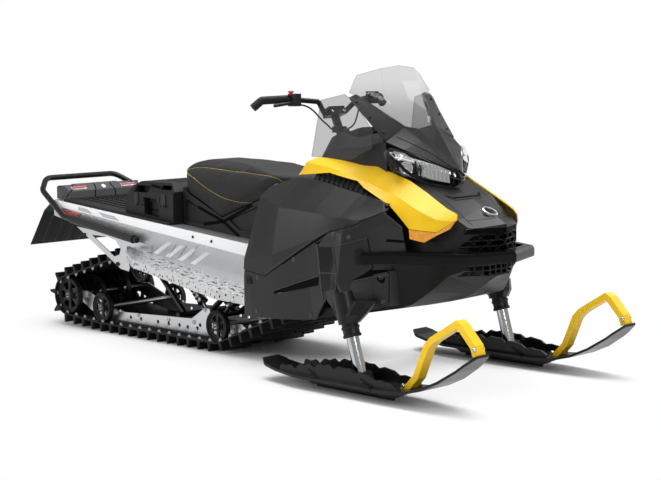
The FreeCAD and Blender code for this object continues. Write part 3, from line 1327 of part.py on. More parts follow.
# Bar controls: switch block and lever at each grip
SWITCH = (46, 34, 52)
SWITCH_CORNER = (346, 214, 1096)
switch = make("Part::Box", "switch_block", Length=SWITCH[0], Width=SWITCH[1], Height=SWITCH[2])
place(switch, SWITCH_CORNER)
lever = rod("lever", (376, 236, 1112), (352, 330, 1100), 7)
keep("bar_controls", pair("bar_controls", cut("bar_control", fuse("switch_and_lever", switch, lever), bar, grip)))

# Control cables: one from each switch block down to the post
CABLE = [
    (366, SWITCH_CORNER[1], 1102), (366, 184, 1102), (378, 140, 1083), (396, 106, 1038), (410, 76, 1010),
    (402, 50, GUIDE_Z), (402, GUIDE_HALF, GUIDE_Z),
]
cable_line = cord_path(CABLE)
cable = tube("control_cable", cable_line, size("cable_radius"))
keep("control_cables", pair("control_cables", cable))

# Skis: keeled plastic runners with notched ribs, tail paddle and steel wear bar
edge_z = size("ski_edge_height")
sole = size("ski_sole_thickness")
TAIL_X = 435
FLAT_REAR = 660
FLAT_FRONT = 1150
TIP_X = 1566
SKI_LINE = [(TAIL_X, 34), (475, 16), (540, 6), (FLAT_REAR, 0), (FLAT_FRONT, 0), (1240, 8), (1330, 32), (1410, 68),
            (1490, 118), (TIP_X, 176)]
half_ski = size("ski_width") / 2
SKI_PLAN = [
    (TAIL_X, 0.46), (TAIL_X + 26, 0.66), (TAIL_X + 120, 0.8), (FLAT_REAR, 1), (1180, 1), (1400, 0.84),
    (1520, 0.62), (TIP_X, 0.36),
]
ski_plan = [(x, half_ski * share) for x, share in SKI_PLAN]
ski_plan += [(x, -y) for x, y in ski_plan[::-1]]
ski_side = [(x, edge_z + rise) for x, rise in SKI_LINE] + [(x, edge_z + sole + rise) for x, rise in SKI_LINE[::-1]]
ski_sole = common("ski_sole", prism("ski_side", ski_side, -half_ski, half_ski), prism("ski_plan", ski_plan, 0, 300, "XY"))
half_keel = size("ski_keel_width") / 2
runner_r = size("ski_runner_radius")
KEEL = [(620, edge_z + 4), (700, runner_r * 2), (1140, runner_r * 2), (1230, edge_z + 10)]
keel = prism("ski_keel", KEEL, -half_keel, half_keel)
RIB_STEPS = 12
RIB_START = 590
RIB_END = 1190
rib_low = edge_z + sole / 2
rib_top = []
for step in range(RIB_STEPS):
    share = step / (RIB_STEPS - 1)
    rise = 24 + 36 * math.sin(math.pi * min(max(share, 0.04), 0.96))
    x = RIB_START + (RIB_END - RIB_START) * share
    rib_top += [(x - 14, edge_z + sole + rise), (x + 12, edge_z + sole + rise - 10 * (step % 2) - 4)]
RIB = [(RIB_START - 30, rib_low)] + rib_top + [(RIB_END + 24, rib_low)]
rib_in = size("ski_rib_spacing") / 2 - size("ski_rib_thickness") / 2
rib = prism("ski_rib", RIB, rib_in, rib_in + size("ski_rib_thickness"))
SADDLE_HALF = 26
SADDLE_TOP = 92
saddle = prism("ski_saddle", [(880, rib_low), (905, SADDLE_TOP), (985, SADDLE_TOP), (1010, rib_low)], -SADDLE_HALF,
               SADDLE_HALF)
LEG_SUNK = 34
leg_start = up_leg(-LEG_SUNK)
leg = cylinder("ski_leg_left", leg_start, leg_up, size("leg_length"), size("leg_radius"))
socket = cylinder("ski_socket", leg_start - Vector(0, ski_y, 0), leg_up, size("leg_length"), size("leg_radius"))
RUNNER = [(-runner_r, runner_r * 2), (-runner_r, runner_r), (runner_r / -2, 0), (runner_r / 2, 0), (runner_r, runner_r),
          (runner_r, runner_r * 2)]
runner = prism("ski_runner", RUNNER, 712, 1128, "YZ")
ski = fuse("ski_whole", cut("ski_seated", fuse("ski_board", ski_sole, keel, rib, mirror("ski_rib_mirror", rib), saddle),
                            socket), runner)

# Ski loops: wide moulded ribbon from the sole up over its peak and down to the tip
LOOP = [(1180, edge_z + sole + 4), (1216, 84), (1248, 118), (1272, 172), (1300, 236), (1332, 268), (1459, 344),
        (1482, 332), (1548, 262), (1560, 226)]
loop_half = size("ski_loop_width") / 2
loop_outline = LOOP + grown(LOOP, -size("ski_loop_thickness"))[::-1]
loop = cut("ski_loop", prism("loop_band", loop_outline, -loop_half, loop_half), ski)
for side, sign in SIDES:
    for label, source in (("ski_", ski), ("ski_loop_", loop)):
        keep(label + side, place(make("App::Link", label + side, LinkedObject=source), (0, ski_y * sign, 0)))
keep("ski_leg_left", leg)
keep("ski_leg_right", mirror("ski_leg_right", leg))

# Every object has to be sound, and every pocket has to have cut something
doc.recompute()
for item in doc.Objects:
    assert not {"Invalid", "Error"} & set(item.State), item.Label
    if item.TypeId == "PartDesign::Pocket":
        assert item.Shape.Volume < item.BaseFeature.Shape.Volume, item.Label
print("cord volume share", round(
    cable.Shape.Volume / (math.pi * float(size("cable_radius")) ** 2 * cable_line.Length), 4))
os.makedirs("parts", exist_ok=True)
for piece in PIECES:
    shape = Part.getShape(piece)
    assert not shape.isNull() and shape.isValid(), piece.Label
    shape.exportStep("parts/%s.step" % piece.Label)
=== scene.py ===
import math
from functools import partialmethod
import bmesh
import bpy
from mathutils import Matrix, Vector
from mathutils.bvhtree import BVHTree
from mathutils.kdtree import KDTree


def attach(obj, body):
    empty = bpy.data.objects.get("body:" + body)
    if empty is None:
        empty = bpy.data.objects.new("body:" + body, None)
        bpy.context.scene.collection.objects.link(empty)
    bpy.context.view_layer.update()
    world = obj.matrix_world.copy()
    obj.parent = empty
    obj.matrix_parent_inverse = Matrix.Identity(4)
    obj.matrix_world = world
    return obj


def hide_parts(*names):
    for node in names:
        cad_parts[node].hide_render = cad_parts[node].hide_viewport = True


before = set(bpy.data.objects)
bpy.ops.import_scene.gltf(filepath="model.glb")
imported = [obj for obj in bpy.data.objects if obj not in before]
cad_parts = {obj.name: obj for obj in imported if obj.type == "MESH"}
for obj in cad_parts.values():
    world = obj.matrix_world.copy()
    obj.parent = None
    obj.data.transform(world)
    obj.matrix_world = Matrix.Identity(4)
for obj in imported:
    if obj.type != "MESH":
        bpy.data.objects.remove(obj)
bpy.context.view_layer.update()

# Studio: a white seamless floor under broad soft lamps, seen from low ahead of the
# machine's right side.
CAMERA_TARGET = Vector((0.333, 0, 0.516))
CAMERA_DISTANCE = 6.727
CAMERA_AZIMUTH = math.radians(45.8)
CAMERA_ELEVATION = math.radians(6.306)
CAMERA_ROLL = math.radians(-0.848)
FOCAL_LENGTH = 85.18
SENSOR_WIDTH = 36
away = Vector((
    math.sin(CAMERA_AZIMUTH) * math.cos(CAMERA_ELEVATION),
    -math.cos(CAMERA_AZIMUTH) * math.cos(CAMERA_ELEVATION),
    math.sin(CAMERA_ELEVATION),
))
level = Vector((math.cos(CAMERA_AZIMUTH), math.sin(CAMERA_AZIMUTH), 0))
upright = away.cross(level)
across = level * math.cos(CAMERA_ROLL) + upright * math.sin(CAMERA_ROLL)
upward = upright * math.cos(CAMERA_ROLL) - level * math.sin(CAMERA_ROLL)
lens = bpy.data.cameras.new("camera")
lens.lens = FOCAL_LENGTH
lens.sensor_width = SENSOR_WIDTH


def placed(name, data):
    """Puts data in the scene as an object."""
    made = bpy.data.objects.new(name, data)
    bpy.context.scene.collection.objects.link(made)
    return made


camera = placed("camera", lens)
axes = Matrix((across, upward, away)).transposed().to_4x4()
camera.matrix_world = Matrix.Translation(CAMERA_TARGET + away * CAMERA_DISTANCE) @ axes
bpy.context.scene.camera = camera
bpy.context.scene.view_settings.view_transform = "Standard"


class Signal:
    """Output of a shader node that can be written in sums and products."""

    def __init__(self, finish, socket):
        self.finish = finish
        self.socket = socket

    def out(self, name):
        return Signal(self.finish, self.socket.node.outputs[name])

    def maths(self, operation, *others):
        return self.finish.node("Math", {"operation": operation}, dict(enumerate((self, *others))))

    __add__ = partialmethod(maths, "ADD")
    __sub__ = partialmethod(maths, "SUBTRACT")
    __mul__ = partialmethod(maths, "MULTIPLY")
    __truediv__ = partialmethod(maths, "DIVIDE")
    __gt__ = partialmethod(maths, "GREATER_THAN")
    __lt__ = partialmethod(maths, "LESS_THAN")
    __abs__ = partialmethod(maths, "ABSOLUTE")

    def __rsub__(self, other):
        return self * -1 + other

    def eased(self, low, high):
        """Rises smoothly from 0 at low to 1 at high."""
        inputs = {"Value": self, "From Min": low, "From Max": high}
        return self.finish.node("MapRange", {"interpolation_type": "SMOOTHSTEP"}, inputs)


class Nodes:
    """Shader nodes of a material or of the world."""

    def __init__(self, owner):
        owner.use_nodes = True
        self.tree = owner.node_tree

    def node(self, kind, settings=None, inputs=None):
        made = self.tree.nodes.new("ShaderNode" + kind)
        for name, value in (settings or {}).items():
            setattr(made, name, value)
        for name, value in (inputs or {}).items():
            self.feed(made.inputs[name], value)
        return Signal(self, made.outputs[0])

    def feed(self, socket, value):
        if isinstance(value, Signal):
            self.tree.links.new(value.socket, socket)
        else:
            socket.default_value = (*value, 1) if socket.type == "RGBA" else value

    def show(self, shader):
        self.feed(self.tree.get_output_node("ALL").inputs["Surface"], shader)


class Finish(Nodes):
    """Material of one Principled shader and the nodes that feed it."""

    def __init__(self, name, **sockets):
        self.material = bpy.data.materials.new(name)
        super().__init__(self.material)
        self.shader = self.tree.nodes["Principled BSDF"]
        self.place = self.node("TexCoord").out("Object")
        self.set(**sockets)

    def set(self, **sockets):
        for name, value in sockets.items():
            self.feed(self.shader.inputs[name.replace("_", " ")], value)

    def noise(self, scale, detail=2, place=None):
        inputs = {"Vector": place or self.place, "Scale": scale, "Detail": detail}
        return self.node("TexNoise", {}, inputs)

    def cells(self, scale, place=None, distance="EUCLIDEAN"):
        """Distance from the nearest of many scattered points."""
        inputs = {"Vector": place or self.place, "Scale": scale}
        return self.node("TexVoronoi", {"distance": distance}, inputs).out("Distance")

    def stretched(self, x, y, z):
        return self.node("VectorMath", {"operation": "MULTIPLY"}, {0: self.place, 1: (x, y, z)})

    def axes(self, vector=None):
        split = self.node("SeparateXYZ", {}, {0: vector or self.place})
        return split.out("X"), split.out("Y"), split.out("Z")

    def mix(self, share, first, second):
        made = self.node("Mix", {"data_type": "RGBA"}, {0: share, 6: first, 7: second})
        return Signal(self, made.socket.node.outputs[2])

    def colour(self, share, first, second):
        self.set(Base_Color=self.mix(share, first, second))

    def bump(self, height, distance, rounded=0):
        inputs = {"Height": height, "Distance": distance}
        if rounded:
            inputs["Normal"] = self.node("Bevel", {"samples": 4}, {"Radius": rounded})
        self.set(Normal=self.node("Bump", {}, inputs))

    def edge_mask(self, radius):
        """Mask that is 1 on corners sharper than the radius."""
        soft = self.node("Bevel", {"samples": 4}, {"Radius": radius})
        flat = self.node("NewGeometry").out("Normal")
        along = self.node("VectorMath", {"operation": "DOT_PRODUCT"}, {0: soft, 1: flat}).out("Value")
        return ((1 - along) * 6).maths("MINIMUM", 1)


def shade(colour, share):
    return tuple(part * share for part in colour)


# the paper runs out to plain white beyond the machine's shadow
FLOOR_SIZE = 80
FLOOR_COLOUR = (0.93, 0.93, 0.935)
CONTACT_REACH = 0.30
CONTACT_RANGE = (0.45, 0.95)
OPEN_SHARE = 0.88
SHADOW_REACH = 1.4
WHITE_FROM = 3.0
bpy.ops.mesh.primitive_plane_add(size=FLOOR_SIZE)
floor = bpy.context.object
floor.name = "floor"
paper = Finish("studio_floor", Roughness=0.9)
paper.colour(paper.noise(3, 3) * 0.3, FLOOR_COLOUR, shade(FLOOR_COLOUR, 0.985))
glow = paper.node("Emission", {}, {"Color": (1, 1, 1), "Strength": 1})
ray = paper.node("LightPath")
seen = ray.out("Is Camera Ray") + ray.out("Is Glossy Ray") + ray.out("Is Transmission Ray")
distance = paper.node("VectorMath", {"operation": "LENGTH"}, {0: paper.place}).out("Value")
contact = paper.node("AmbientOcclusion", {"samples": 8}, {"Distance": CONTACT_REACH})
openness = contact.out("AO").eased(*CONTACT_RANGE)
plain = (openness * OPEN_SHARE + distance.eased(SHADOW_REACH, WHITE_FROM)).maths("MINIMUM", 1)
paper.show(paper.node("MixShader", {}, {0: seen * plain, 1: Signal(paper, paper.shader.outputs[0]), 2: glow}))
floor.data.materials.append(paper.material)

# the sky lights the machine softly, and shows plain white behind it
world = bpy.data.worlds.new("studio")
bpy.context.scene.world = world
sky = Nodes(world)
sight = sky.node("LightPath")
soft_light = sky.node("Background", {}, {"Color": (0.97, 0.98, 1), "Strength": 0.42})
white = sky.node("Background", {}, {"Color": (1, 1, 1), "Strength": 1})
direct = sight.out("Is Camera Ray") + sight.out("Is Transmission Ray")
sky.show(sky.node("MixShader", {}, {0: direct, 1: soft_light, 2: white}))

# name, place, target, side and power of each lamp
LAMPS = (
    ("overhead", (0.3, 0.5, 4.2), (0.2, 0, 0.4), 3.0, 215),
    ("front", (4.8, -1.6, 2.4), (0.6, 0, 0.5), 1.6, 55),
    ("side", (-2.8, -4.4, 2.2), (-0.4, 0, 0.4), 2.2, 85),
    ("far_rim", (1.2, 4.6, 2.6), (0.2, 0, 0.6), 2.4, 45),
)
for lamp_name, spot, aim, lamp_side, power in LAMPS:
    lamp = bpy.data.lights.new(lamp_name, "AREA")
    lamp.size = lamp_side
    lamp.energy = power
    hung = placed(lamp_name, lamp)
    hung.location = spot
    hung.rotation_euler = (Vector(spot) - Vector(aim)).to_track_quat("Z", "Y").to_euler()

# Track: one moulded rubber loop with fabric cords inside, its lugs scuffed by snow to a
# dull black. Bent steel clips are pressed round it, one at every row of lugs, and their
# fins keep the belt between the rails.
RUBBER_BLACK = (0.008, 0.008, 0.0083)


def rubber(name, colour, roughness):
    made = Finish(name)
    dust = made.noise(9, 5)
    made.colour(dust * 0.7, shade(colour, 0.7), shade(colour, 1.9))
    made.set(Roughness=(dust - 0.5) * 0.25 + roughness, Specular_IOR_Level=0.25)
    made.bump(made.noise(420, 4), 0.0006, 0.002)
    return made


def metal(name, colour, roughness, brushed=(1, 1, 1), metallic=1.0):
    made = Finish(name)
    streak = made.noise(180, 3, made.stretched(*brushed))
    made.colour(made.noise(6, 4), shade(colour, 0.88), shade(colour, 1.06))
    made.set(Metallic=metallic, Roughness=(streak - 0.5) * 0.2 + roughness)
    made.bump(streak, 0.0002, 0.0015)
    return made


def dress(finish, *nodes):
    """Gives CAD nodes one finish."""
    for name in nodes:
        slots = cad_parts[name].data.materials
        slots.clear()
        slots.append(finish.material)


class Maker:
    """Mesh of small solids that are turned, cut from plate, bent from wire or laid as bands."""

    def __init__(self):
        self.mesh = bmesh.new()

    def joined(self, rings, closed=True):
        """Skin over rings of points. Closed rings are capped at both ends."""
        rows = [[self.mesh.verts.new(point) for point in ring] for ring in rings]
        for low, high in zip(rows, rows[1:]):
            for step in range(len(low) if closed else len(low) - 1):
                after = (step + 1) % len(low)
                self.mesh.faces.new((low[step], low[after], high[after], high[step]))
        if closed:
            self.mesh.faces.new(rows[0][::-1])
            self.mesh.faces.new(rows[-1])

    def turned(self, spot, axis, profile, sides=18):
        """Solid of radius and height pairs about an axis through the spot."""
        turn = Matrix.Translation(spot) @ Vector(axis).to_track_quat("Z", "Y").to_matrix().to_4x4()
        angles = [math.tau * step / sides for step in range(sides)]
        self.joined([[turn @ Vector((radius * math.cos(angle), radius * math.sin(angle), height))
                      for angle in angles] for radius, height in profile])

    def plate(self, spot, along, up, outline, thick):
        """Flat piece whose outline is measured along two directions from the spot."""
        beside = along.cross(up).normalized()
        self.joined([[spot + along * a + up * b + beside * c for a, b in outline]
                     for c in (-thick / 2, thick / 2)])

    def wire(self, points, radius, reference, sides=6):
        """Round bar through points, never running along the reference direction."""
        rings = []
        angles = [math.tau * step / sides for step in range(sides)]
        for index, point in enumerate(points):
            run = points[min(index + 1, len(points) - 1)] - points[max(index - 1, 0)]
            first = run.cross(reference).normalized() * radius
            second = run.cross(first).normalized() * radius
            rings.append([point + first * math.cos(angle) + second * math.sin(angle) for angle in angles])
        self.joined(rings)

    def band(self, spots, width, height):
        """Thin band over points of a surface, each with its normal."""
        rings = []
        for index, (point, normal) in enumerate(spots):
            run = spots[min(index + 1, len(spots) - 1)][0] - spots[max(index - 1, 0)][0]
            half = run.cross(normal).normalized() * width / 2
            lift = normal * height
            rings.append([point - half, point - half * 0.8 + lift, point + half * 0.8 + lift, point + half])
        self.joined(rings, closed=False)

    def patch(self, rows, height):
        """Thin panel over rows of surface points with their normals."""
        self.joined([[point + normal * height for point, normal in row] for row in rows], closed=False)

    def piece(self, name, finish, slot="panel_black", body="chassis", sharp=32):
        """Puts the mesh in the scene as a piece that rides on a body."""
        bmesh.ops.recalc_face_normals(self.mesh, faces=self.mesh.faces)
        made = bpy.data.meshes.new(name)
        self.mesh.to_mesh(made)
        return add_piece(name, made, finish, body, sharp)


def add_piece(name, mesh, finish, body="chassis", sharp=32):
    piece = placed(name, mesh)
    mesh.materials.clear()
    mesh.materials.append(finish.material)
    mesh.shade_smooth()
    mesh.set_sharp_from_angle(angle=math.radians(sharp))
    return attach(piece, body)


def paced(line, pitch):
    """Evenly spaced points on a polyline, each with its direction."""
    spots = []
    passed = pitch / 2
    for start, end in zip(line, line[1:]):
        run = end - start
        while passed <= run.length:
            spots.append((start + run.normalized() * passed, run.normalized()))
            passed += pitch
        passed -= run.length
    return spots


def mm(entry):
    """Metres from rows of millimetres."""
    return tuple(mm(part) for part in entry) if isinstance(entry, (tuple, list)) else entry / 1000


dress(rubber("track_rubber", RUBBER_BLACK, 0.6), "track")
SIDES = (-1, 1)
# middle and rim of each wheel that the belt runs round, seen from the side
BELT_WHEELS = mm((
    (-1298, 149, 90), (-1025, 114.5, 70.5), (-164, 114.5, 70.5), (366, 350, 89.25), (-709, 343, 70.5),
))
LUG_ROWS = 54
CLIP_Y = 0.2415
CLIP_THICK = 0.0032
CLIP_OUTLINE = mm(((-15, 0), (-6, 13), (5, 15), (12, 0)))
leaving = []
for (x0, z0, r0), (x1, z1, r1) in zip(BELT_WHEELS, BELT_WHEELS[1:] + BELT_WHEELS[:1]):
    leaving.append(math.atan2(z1 - z0, x1 - x0) - math.acos((r0 - r1) / math.hypot(x1 - x0, z1 - z0)))
belt_line = []
for index, (x, z, radius) in enumerate(BELT_WHEELS):
    turn = (leaving[index] - leaving[index - 1]) % math.tau
    steps = 2 + int(turn * 8)
    for step in range(steps + 1):
        angle = leaving[index - 1] + turn * step / steps
        belt_line.append(Vector((x + radius * math.cos(angle), 0, z + radius * math.sin(angle))))
belt_line.append(belt_line[0])
belt_length = sum((b - a).length for a, b in zip(belt_line, belt_line[1:]))
clips = Maker()
for spot, run in paced(belt_line, belt_length / LUG_ROWS):
    inward = Vector((-run.z, 0, run.x))
    for side in SIDES:
        clips.plate(spot + Vector((0, side * CLIP_Y, 0)), run, inward, CLIP_OUTLINE, CLIP_THICK)
clips.piece("track_clips", metal("clip_steel", (0.30, 0.305, 0.31), 0.34), "axle_steel")

# Track wheels: glass-filled nylon with six spokes, a rubber tyre shrunk on the rim, and a
# pressed cap over the bearing. The splined drive axle carries moulded sprockets.


def moulded(name, colour, roughness, rounded=0.002, grain=0.0003, wear_and_highlight=0.35):
    """Moulded plastic: satin grain, faint cloudiness, and sharp corners painted lighter, partly as rubbed
    wear and partly as painted highlight.
    """
    made = Finish(name)
    cloud = made.noise(5, 4)
    fine = made.noise(700, 3)
    base = made.mix(cloud, shade(colour, 0.8), shade(colour, 1.2))
    # sharp corners and creases painted lighter: partly rubbed wear, partly painted highlight
    made.colour(made.edge_mask(rounded * 1.6) * wear_and_highlight, base, shade(colour, 2.6))
    made.set(Roughness=(cloud - 0.5) * 0.16 + (fine - 0.5) * 0.12 + roughness, Specular_IOR_Level=0.24)
    made.bump(fine, grain, rounded)
    return made


wheel_plastic = moulded("wheel_plastic", (0.012, 0.012, 0.0125), 0.4)
dress(wheel_plastic, "track_wheels", "drive_axle")
WHEEL_FACE_Y = 0.235
TYRE = 0.009
TYRE_STEPS = 48
CAP = mm(((21, -4), (21, 3), (17, 6), (10, 7), (9, 4), (6, 4), (5, 9)))
tyres = Maker()
caps = Maker()
for x, z, radius in BELT_WHEELS[:3] + BELT_WHEELS[4:]:
    seat = radius - TYRE
    ring = ((seat, -0.002), (seat, 0.0012), (radius - 0.002, 0.0012), (radius - 0.0004, -0.002))
    for side in SIDES:
        face = Vector((x, side * WHEEL_FACE_Y, z))
        angles = [math.tau * step / TYRE_STEPS for step in range(TYRE_STEPS + 1)]
        tyres.joined([[face + Vector((reach * math.cos(angle), side * height, reach * math.sin(angle)))
                       for reach, height in ring] for angle in angles], closed=False)
        caps.turned(face, (0, side, 0), CAP)
tyres.piece("wheel_tyres", rubber("tyre_rubber", shade(RUBBER_BLACK, 0.8), 0.7), "track_rubber")
caps.piece("wheel_caps", moulded("cap_grey", (0.045, 0.046, 0.047), 0.35), "wheel_plastic")

# Rear suspension: two aluminium rails with plastic sliders below, hung from the tunnel on
# steel arms, with a coil-over damper behind each arm. Everything is bolted through.
bare_aluminium = metal("bare_aluminium", (0.60, 0.61, 0.62), 0.32)
black_coat = metal("black_powder_coat", (0.006, 0.006, 0.0065), 0.32, metallic=0.0)
black_coat.set(Specular_IOR_Level=0.3)
bright_steel = metal("bright_steel", (0.62, 0.63, 0.65), 0.22)
dress(bare_aluminium, "slide_rails", "wheel_axles")
dress(moulded("slider_plastic", (0.02, 0.02, 0.021), 0.5), "sliders")
dress(black_coat, "suspension_arms")
dress(metal("damper_steel", (0.34, 0.345, 0.35), 0.28), "dampers")
BOLT = ((1.0, -0.5), (1.0, 0.35), (0.82, 0.62), (0.5, 0.66), (0.42, 0.30), (0.05, 0.28))


def scaled(profile, wide, high=None):
    return [(wide * a, (high or wide) * b) for a, b in profile]


def pan_head(radius):
    """Profile and sides of a bolt's head."""
    return scaled(BOLT, radius), 14


def side_bolts(maker, face_y, places, middle_y=0):
    """Pan-head bolts on both faces of a part: x, z and head radius of each."""
    for x, z, radius in places:
        for side in SIDES:
            spot = Vector((x, middle_y + side * face_y, z))
            maker.turned(spot, (0, side, 0), *pan_head(radius))


RAIL_FACE_Y = 0.190
RAIL_BOLT = 0.0095
RAIL_BOLTS = mm(((-374, 107), (-293, 171), (-560, 98), (-790, 98), (-930, 102), (-1150, 130)))
rail_bolts = Maker()
side_bolts(rail_bolts, RAIL_FACE_Y, [(x, z, RAIL_BOLT) for x, z in RAIL_BOLTS])
rail_bolts.piece("rail_bolts", bright_steel, "axle_steel")

# Tunnel: pressed aluminium sheet, brushed along its length, with a white printed band under
# its shoulder and round-head rivets along both lines where sheets are joined.
TUNNEL_FACE_Y = 0.27
WHITE_INK = (0.93, 0.93, 0.935)
# lower edge of the white band: its slope, and its height at one x
BAND_SLOPE = -0.1005
BAND_FOOT_X = 0.072
BAND_AT_FOOT = 0.455
BAND_END = 0.15
# leaning grey bars printed on the band
BAR_START = -1.140
BAR_END = -0.765
BAR_PITCH = 0.215
BAR_SHARE = 0.60
BAR_LEAN = 2.2
BAR_RISE = (0.006, 0.024)
# leaning light stripes below the band
STRIPE_START = -0.405
STRIPE_PITCH = 0.089
STRIPE_SHARE = 0.36
STRIPE_COUNT = 4
STRIPE_LEAN = 1.535
STRIPE_DROP = (-0.100, -0.030)
tunnel_sheet = metal("tunnel_aluminium", (0.66, 0.665, 0.675), 0.36, brushed=(0.15, 1, 1), metallic=0.75)
x, y, z = tunnel_sheet.axes()
above = z - ((x - BAND_FOOT_X) * BAND_SLOPE + BAND_AT_FOOT)
outside = abs(y) > TUNNEL_FACE_Y - 0.004
white_band = (above > 0) * outside * (x < BAND_END)
bar = ((x - BAR_START + above * BAR_LEAN) / BAR_PITCH).maths("FRACT")
grey_bars = (bar < BAR_SHARE) * (x < BAR_END) * (x > BAR_START)
grey_bars = grey_bars * (above > BAR_RISE[0]) * (above < BAR_RISE[1])
stripe = (x - above * STRIPE_LEAN - STRIPE_START) / STRIPE_PITCH
stripes = (stripe.maths("FRACT") < STRIPE_SHARE) * (stripe > 0) * (stripe < STRIPE_COUNT) * outside
stripes = stripes * (above > STRIPE_DROP[0]) * (above < STRIPE_DROP[1])
sheet = tunnel_sheet.mix(tunnel_sheet.noise(6, 4), (0.44, 0.445, 0.45), (0.56, 0.565, 0.57))
fading = tunnel_sheet.mix((above - STRIPE_DROP[0]) * 14, WHITE_INK, (0.66, 0.665, 0.67))
bare = tunnel_sheet.mix(stripes, sheet, fading)
printed = tunnel_sheet.mix(grey_bars, WHITE_INK, (0.50, 0.505, 0.51))
ink = white_band.maths("MAXIMUM", stripes * 0.7)
tunnel_sheet.colour(white_band, bare, printed)
tunnel_sheet.set(Metallic=0.8 - ink * 0.8)
dress(tunnel_sheet, "tunnel")
RIVET = mm(((4.6, -1), (4.6, 0.4), (3.6, 1.9), (1.6, 2.6), (0.4, 2.8)))
RIVET_START = -1.10
RIVET_PITCH = 0.066
RIVET_COUNT = 19
rivets = Maker()
for step in range(RIVET_COUNT):
    x = RIVET_START + RIVET_PITCH * step
    z = BAND_AT_FOOT + (x - BAND_FOOT_X) * BAND_SLOPE - 0.010
    for side in SIDES:
        rivets.turned(Vector((x, side * TUNNEL_FACE_Y, z)), (0, side, 0), RIVET, 12)
rivets.piece("tunnel_rivets", bare_aluminium, "tunnel_aluminium")
TUNNEL_BOLTS = mm(((-268, 512, 6.5), (-140, 501, 6.5)))
tunnel_bolts = Maker()
side_bolts(tunnel_bolts, TUNNEL_FACE_Y, TUNNEL_BOLTS)
tunnel_bolts.piece("tunnel_bolts", black_coat, "tube_black")

# Footboards: punched aluminium treads with a folded outer rail, left bare where boots wear
# the surface bright.
tread = metal("tread_aluminium", (0.50, 0.505, 0.51), 0.38)
punched = tread.cells(75, tread.stretched(1, 0.6, 0.6)).eased(0.20, 0.34)
tread.colour(punched, (0.05, 0.05, 0.052), (0.62, 0.625, 0.63))
dress(tread, "footboards")

# Rear bumper: black tube bent round the deck, held in grey rubber sleeves on cast
# brackets, each bolted through the tunnel's side.
dress(bare_aluminium, "bumper_brackets")
dress(black_coat, "rear_bumper")
dress(moulded("sleeve_grey", (0.016, 0.016, 0.0165), 0.5), "bumper_sleeves")
BRACKET_FACE_Y = 0.275
BRACKET_BOLTS = mm(((-825, 346, 11), (-719, 352, 12), (-1085, 470, 8)))
bracket_bolts = Maker()
side_bolts(bracket_bolts, BRACKET_FACE_Y, BRACKET_BOLTS)
bracket_bolts.piece("bracket_bolts", black_coat, "tube_black")

# Snow flap: thick rubber sheet that hangs behind the track, stiffened by ribs moulded
# down its face.
FLAP_RIB_PITCH = 0.075
flap_rubber = rubber("flap_rubber", RUBBER_BLACK, 0.55)
x, y, z = flap_rubber.axes()
flap_ribs = abs((y / FLAP_RIB_PITCH).maths("FRACT") - 0.5).eased(0.16, 0.24)
flap_rubber.bump(flap_ribs + flap_rubber.noise(380, 4) * 0.15, 0.003, 0.002)
dress(flap_rubber, "snow_flap")

# Tail lamp: grey moulded housing across the deck's end, with small clear and coloured
# lenses snapped into its sloping front and one long red lens behind.
FORE = Vector((1, 0, 0))
LEFT = Vector((0, 1, 0))
RISE = Vector((0, 0, 1))
DOWN = (0, 0, -1)
INWARD = (0, -1, 0)
ONCE = (1,)
FIRST_REACH = 0.25


def surface(*names):
    """Shape of CAD nodes, for laying small pieces on them."""
    corners = []
    faces = []
    for name in names:
        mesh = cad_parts[name].data
        start = len(corners)
        corners += [vertex.co.copy() for vertex in mesh.vertices]
        faces += [[start + corner for corner in face.vertices] for face in mesh.polygons]
    return BVHTree.FromPolygons(corners, faces)


def landed(shape, spot, aim):
    """Where a line through the spot, coming along aim, first meets a shape, and its normal."""
    aim = Vector(aim).normalized()
    point, normal, face, far = shape.ray_cast(Vector(spot) - aim * FIRST_REACH, aim)
    if point is None:
        return None
    return point, normal * (-1 if normal.dot(aim) > 0 else 1)


def laid(shape, line, aim, pitch=0.006):
    """Closely spaced surface points under a line of points."""
    spots = [place for place, run in paced([Vector(point) for point in line], pitch)]
    spots = [Vector(line[0])] + spots + [Vector(line[-1])]
    return [hit for hit in (landed(shape, spot, aim) for spot in spots) if hit]


def mirrored(points, side):
    """Points given for the left side, on either side."""
    return [(x, side * y, z) for x, y, z in points]


def strip(maker, shape, line, aim, width, height=0.0012, pitch=0.006, sides=SIDES):
    """Bands laid on both sides of a shape, under a line of the left side."""
    for side in sides:
        spots = laid(shape, mirrored(line, side), (aim[0], side * aim[1], aim[2]), pitch)
        if len(spots) > 1:
            maker.band(spots, width, height)


def glassy(name, colour):
    """Coloured lens: clear skin over a moulded pattern of small prisms, each painted darker in its hollow and
    lighter at its rim as painted shade and glint.
    """
    made = Finish(name, Coat_Weight=0.8, Coat_Roughness=0.04)
    prism_and_glint = made.cells(170, distance="MANHATTAN")
    made.colour(prism_and_glint, shade(colour, 0.7), shade(colour, 1.35))
    made.set(Roughness=prism_and_glint * 0.1 + 0.12)
    made.bump(prism_and_glint, 0.0012, 0.001)
    return made


lens_red = glassy("lens_red", (0.36, 0.010, 0.012))
lens_clear = glassy("lens_clear", (0.75, 0.76, 0.78))
dress(glassy("lens_red_deep", (0.10, 0.004, 0.004)), "tail_lens")
dress(lens_red, "side_reflectors")
REFLECTOR_TIP = mm(((-1235, 580), (-1120, 568), (-1140, 545), (-1235, 549)))
reflector_tips = Maker()
for side in SIDES:
    reflector_tips.plate(LEFT * side * (TUNNEL_FACE_Y + 0.002), FORE, RISE, REFLECTOR_TIP, 0.004)
reflector_tips.piece("reflector_tips", lens_red, "lens_red")
dress(moulded("tail_grey", (0.060, 0.061, 0.063), 0.36), "tail_lamp_housing")
lamp_case = surface("tail_lamp_housing")
DOWN_BACK = (-0.7, 0, -0.7)
LENS_X = -1.300
LENS_Z = 0.678
LENS_WIDTH = 0.018
LENS_RIM = 0.0022
LENS_SPANS = mm(((105, 195), (-195, -105)))
